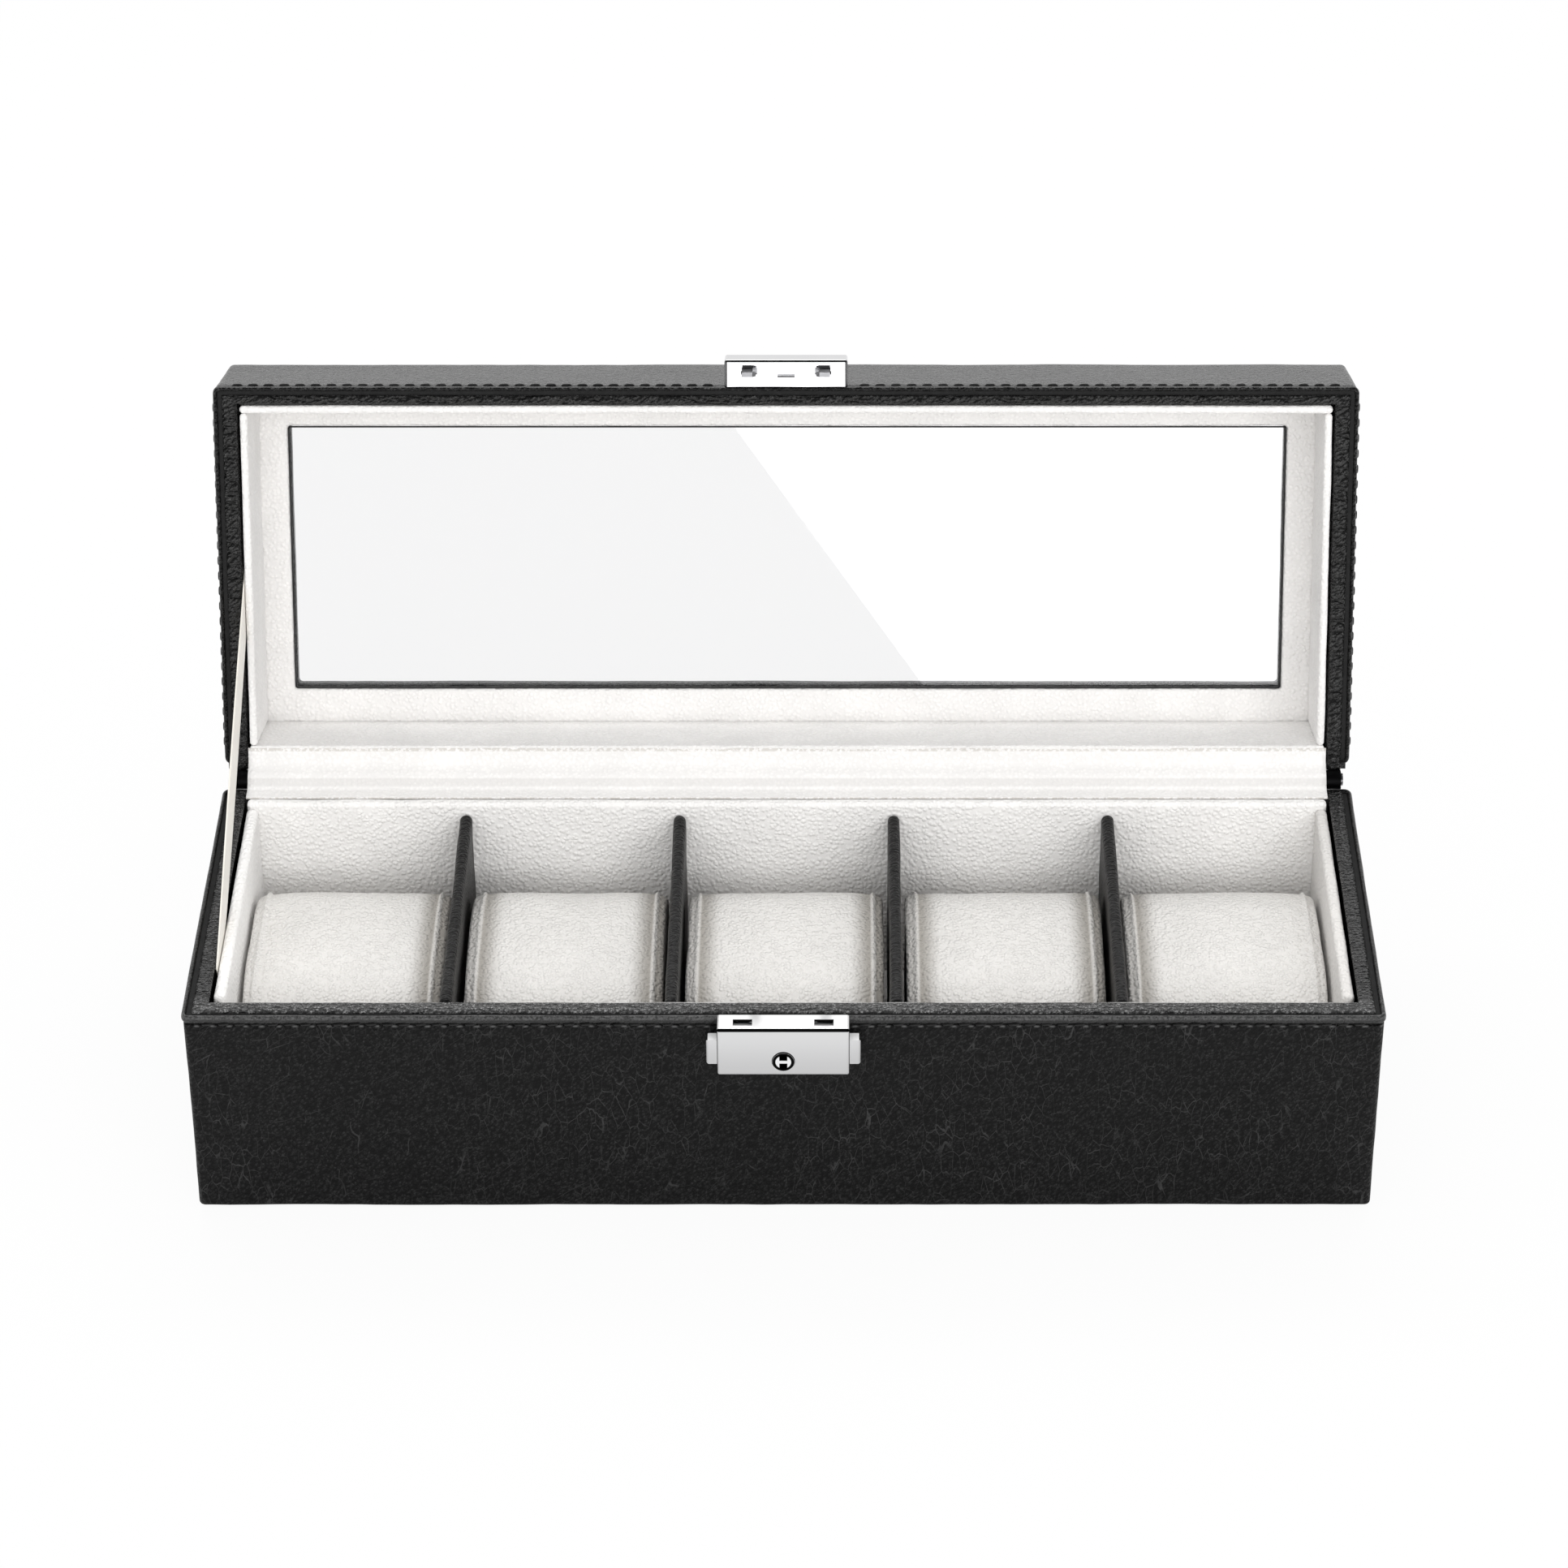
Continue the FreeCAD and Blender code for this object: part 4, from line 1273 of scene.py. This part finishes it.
def plain_material(name, dark, pale, size, rough, depth):
    """Board, felt or thread: two close grey tones with a fine grain."""
    shader = Shader(name)
    grain = shader.noise(shader.place(), size, detail=4.0, roughness=0.6)
    shader.tint(grain, (dark,) * 3, (pale,) * 3)
    shader.set(Roughness=rough, Specular_IOR_Level=0.25)
    shader.bump(grain, depth)
    return shader.material


# Finishes by piece
base_gloss = 0.14
# Painted light and shade: the base's velvet is a lighter copy of one velvet, the right lining's, lid's and
# strip's darker copies
velvet_white_lit = (0.985, 0.972, 0.955)
velvet_shaded = (0.78, 0.76, 0.735)
velvet_lid = (0.915, 0.9, 0.885)
velvet_strip_shaded = (0.93, 0.915, 0.9)
suede_cream = (0.84, 0.822, 0.795)
velvet_pebble = 1.15
suede_pebble = 1.0


def build_outside(thread):
    """The leather skins, the rim caps and the stitches."""
    base_leather = leather_material(
        "leather_base", grain=0.75, crease=1.0, shine=0.3, relief=0.2, pale=0.032, gloss=base_gloss
    )
    lid_leather = leather_material(
        "leather_lid", grain=0.9, crease=1.0, shine=0.26, relief=0.26, pale=0.05, gloss=0.42
    )
    # The rim's pale pebble tops are a painted highlight
    rim_leather = leather_material(
        "leather_rim", grain=0.9, crease=0.25, shine=0.24, relief=0.7, pale=0.42, gloss=rim_gloss, cross=0.4
    )
    base_skin(welt_finish(base_leather, base_gloss))
    lid_skin(lid_leather.material)
    rim = rim_finish(rim_leather)
    rim_cap("base_rim_cap", rim, "base", "base_rim_leather", base_rim, base_cap_inner, board_y, False)
    lid_cap_back = hinge_y - barrel_radius
    rim_cap("lid_rim_cap", rim, "lid", "lid_rim_leather", lid_rim, lid_cap_inner, lid_cap_back, True)
    stitch_row("base_stitches", thread, "base", base_rim - groove_depth, base_stitch_lift, False)
    stitch_row("lid_stitches", thread, "lid", lid_rim + groove_depth, lid_stitch_lift, True)


def build_inside(thread):
    """The linings, the window's frame, the dividers, the cushions, the strip and the ribbon."""
    lit_base_velvet = velvet_material("velvet_base", velvet_white_lit, velvet_pebble, depth=0.24).material
    shaded_velvet = velvet_material("velvet_shaded", velvet_shaded, velvet_pebble, depth=0.24).material
    shaded_lid_velvet = velvet_material("velvet_lid", velvet_lid, velvet_pebble, depth=0.22).material
    for side in ("floor", "back", "left"):
        lining(f"base_lining_{side}", lit_base_velvet, "base")
    # Painted shade: the right lining takes the darker copy of the velvet
    lining("base_lining_right", shaded_velvet, "base")
    lining("base_lining_front", lit_base_velvet, "base", drop=front_lining_drop)
    for side in ("front", "back", "left", "right"):
        lining(f"lid_lining_{side}", shaded_lid_velvet, "lid", on_lid=True)
    window_lining(shaded_lid_velvet)
    window_bead(thread)
    divider_leather = leather_material(
        "leather_divider", grain=0.8, crease=0.2, shine=0.36, relief=0.25, pale=0.03, gloss=0.2, cross=0.12
    )
    for number in range(1, 5):
        divider(number, divider_leather.material)
    suede = cushion_shade(velvet_material("suede_cushion", suede_cream, suede_pebble, depth=0.3))
    for number in range(1, 6):
        cushion(number, suede)
    hinge_strip(strip_shade(velvet_material("velvet_strip_shaded", velvet_strip_shaded, suede_pebble, depth=0.1)))
    ribbon(satin_material())


def build_hardware():
    """The springs, and the finish of each CAD node that stays in sight."""
    steel = metal_material("steel_bare", *bare_steel).material
    lock_springs(steel)
    board = plain_material("fibreboard", dark=0.012, pale=0.03, size=1.2, rough=0.85, depth=0.05)
    felt = plain_material("underside_felt", dark=0.01, pale=0.03, size=0.5, rough=0.95, depth=0.1)
    black_steel = metal_material("steel_black", *blackened_steel).material
    button_chrome = lock_chrome("chrome_button", "lock_button_left", button_top_metallic)
    finishes = {
        "lid_glass": glass_material(),
        "base_bottom_cover": felt,
        "lock_case": lock_chrome("chrome_case", "lock_case", case_top_metallic),
        "lock_core": key_core_material(),
        "lock_strike": metal_material("chrome_strike_shaded", *shaded_strike_plating).material,
    }
    for part in ("base_bottom", "lid_top"):
        finishes[f"{part}_board"] = board
    for side in ("front", "back", "left", "right"):
        finishes[f"base_{side}_board"] = board
        finishes[f"lid_{side}_board"] = board
    for part in ("hinge_base_leaf", "hinge_lid_leaf"):
        finishes[part] = black_steel
    for part in ("hinge_pin", "strike_hooks", "lock_back_plate", "lock_rivets", "strike_rivets"):
        finishes[part] = steel
    for part in ("lock_button_left", "lock_button_right"):
        finishes[part] = button_chrome
    for node, material in finishes.items():
        nodes[node].data.materials.clear()
        nodes[node].data.materials.append(material)
    nodes["lid_glass"].visible_shadow = False


# Camera, fitted to the corners of base and lid in the photograph
camera_place = Vector((14.0, -1033.3, 786.4))
camera_pitch = 33.72
camera_lens = 112.64
camera_sensor = 36
camera_shift = -0.0355
camera_reach = 50


def build_camera():
    """The photograph's view: straight on, from above."""
    data = bpy.data.cameras.new("camera")
    data.lens = camera_lens
    data.sensor_width = camera_sensor
    data.shift_x = camera_shift
    data.clip_end = camera_reach
    camera = add_object("camera", data)
    camera.location = camera_place * MM
    camera.rotation_euler = (math.radians(90 - camera_pitch), 0, 0)
    bpy.context.scene.camera = camera


# Floor
floor_half = 6000
floor_drop = 0.05
floor_grey = (0.82, 0.82, 0.82, 1)
floor_white = 0.93
floor_bright_from = 150
floor_bright_to = 500


def build_floor():
    """A plain white floor. It keeps a faint shadow, and mirrors see it lit only behind the box."""
    mesh = bpy.data.meshes.new("floor")
    corners = [(-1, -1), (1, -1), (1, 1), (-1, 1)]
    reach = floor_half * MM
    mesh.from_pydata([(x * reach, y * reach, -floor_drop * MM) for x, y in corners], [], [(0, 1, 2, 3)])
    floor = add_object("floor", mesh)
    shader = Shader("floor_white")
    shader.set(Base_Color=floor_grey, Roughness=0.9, Specular_IOR_Level=0.1)
    path = shader.node("ShaderNodeLightPath").outputs
    seen = shader.math("MAXIMUM", path["Is Camera Ray"], path["Is Transmission Ray"])
    depth = shader.axes(shader.place())[1]
    behind = shader.span(depth, floor_bright_from * MM, floor_bright_to * MM)
    mirrored = shader.product(path["Is Glossy Ray"], behind)
    share = shader.math("MAXIMUM", shader.product(seen, floor_white), mirrored)
    glow = shader.node("ShaderNodeEmission", Strength=1.0)
    mix = shader.node("ShaderNodeMixShader", {0: share, 1: shader.surface.outputs[0], 2: glow.outputs[0]})
    shader.tree.links.new(mix.outputs[0], shader.tree.nodes["Material Output"].inputs[0])
    mesh.materials.append(shader.material)


# Light
front_place = Vector((330, -1600, 850))
front_target = Vector((0, 30, 70))
front_size = (1800, 900)
front_radiance = 2.95
back_place = Vector((-60, 620, 900))
back_target = Vector((0, -40, 60))
back_size = (1100, 360)
back_radiance = 3.2
world_diffuse = 0.87
world_mirrored = 0.04
world_behind = 1.0
world_behind_from = 0.3
world_behind_to = 0.7

# The reflection in the glass's right half: its edge runs aslant between two points of a plane in front
panel_top = Vector((-97, -2300, 503))
panel_foot = Vector((66, -2300, 279))
panel_size = (470, 820)
panel_radiance = 2.5


def area_lamp(name, place, target, size, radiance):
    """A soft rectangular lamp that faces a point, as bright as a radiance says."""
    data = bpy.data.lights.new(name, "AREA")
    data.shape = "RECTANGLE"
    data.size, data.size_y = size[0] * MM, size[1] * MM
    data.energy = radiance * math.pi * data.size * data.size_y
    lamp = add_object(name, data)
    lamp.location = place * MM
    lamp.rotation_euler = (target - place).to_track_quat("-Z", "Y").to_euler()
    return lamp


def reflected_panel():
    """A bright panel that only mirrors see, with its left edge aslant in the glass."""
    along = (panel_top - panel_foot).normalized()
    across = Vector((along.z, 0, -along.x))
    middle = (panel_top + panel_foot) / 2 + across * panel_size[0] / 2
    lamp = area_lamp("lamp_panel", middle, middle + Vector((0, 1, 0)), panel_size, panel_radiance)
    lamp.rotation_euler = Matrix((across, along, across.cross(along))).transposed().to_euler()
    lamp.visible_diffuse = False


def build_light():
    """A pale studio: a large lamp in front, a strip behind that the leather mirrors, and the world."""
    front = area_lamp("lamp_front", front_place, front_target, front_size, front_radiance)
    front.visible_glossy = False
    area_lamp("lamp_back", back_place, back_target, back_size, back_radiance)
    reflected_panel()
    world = bpy.data.worlds.new("studio")
    bpy.context.scene.world = world
    world.use_nodes = True
    studio = Nodes(world.node_tree)
    path = studio.node("ShaderNodeLightPath").outputs
    seen = studio.math("MAXIMUM", path["Is Camera Ray"], path["Is Transmission Ray"])
    back = studio.axes(studio.node("ShaderNodeTexCoord").outputs["Generated"])[1]
    behind = studio.span(back, world_behind_from, world_behind_to, world_mirrored, world_behind)
    lit = studio.node("ShaderNodeMix", {"B": behind, "Factor": path["Is Glossy Ray"]}, A=world_diffuse)
    shown = studio.node("ShaderNodeMix", {"A": lit.outputs["Result"], "Factor": seen}, B=1.0)
    background = studio.tree.nodes["Background"]
    studio.tree.links.new(shown.outputs["Result"], background.inputs["Strength"])
    background.inputs["Color"].default_value = (1, 1, 1, 1)


black_thread = plain_material("thread_black", dark=0.003, pale=0.03, size=0.25, rough=0.35, depth=0.08)
build_outside(black_thread)
build_inside(black_thread)
build_hardware()
build_camera()
build_floor()
build_light()
bpy.context.scene.view_settings.view_transform = "Standard"
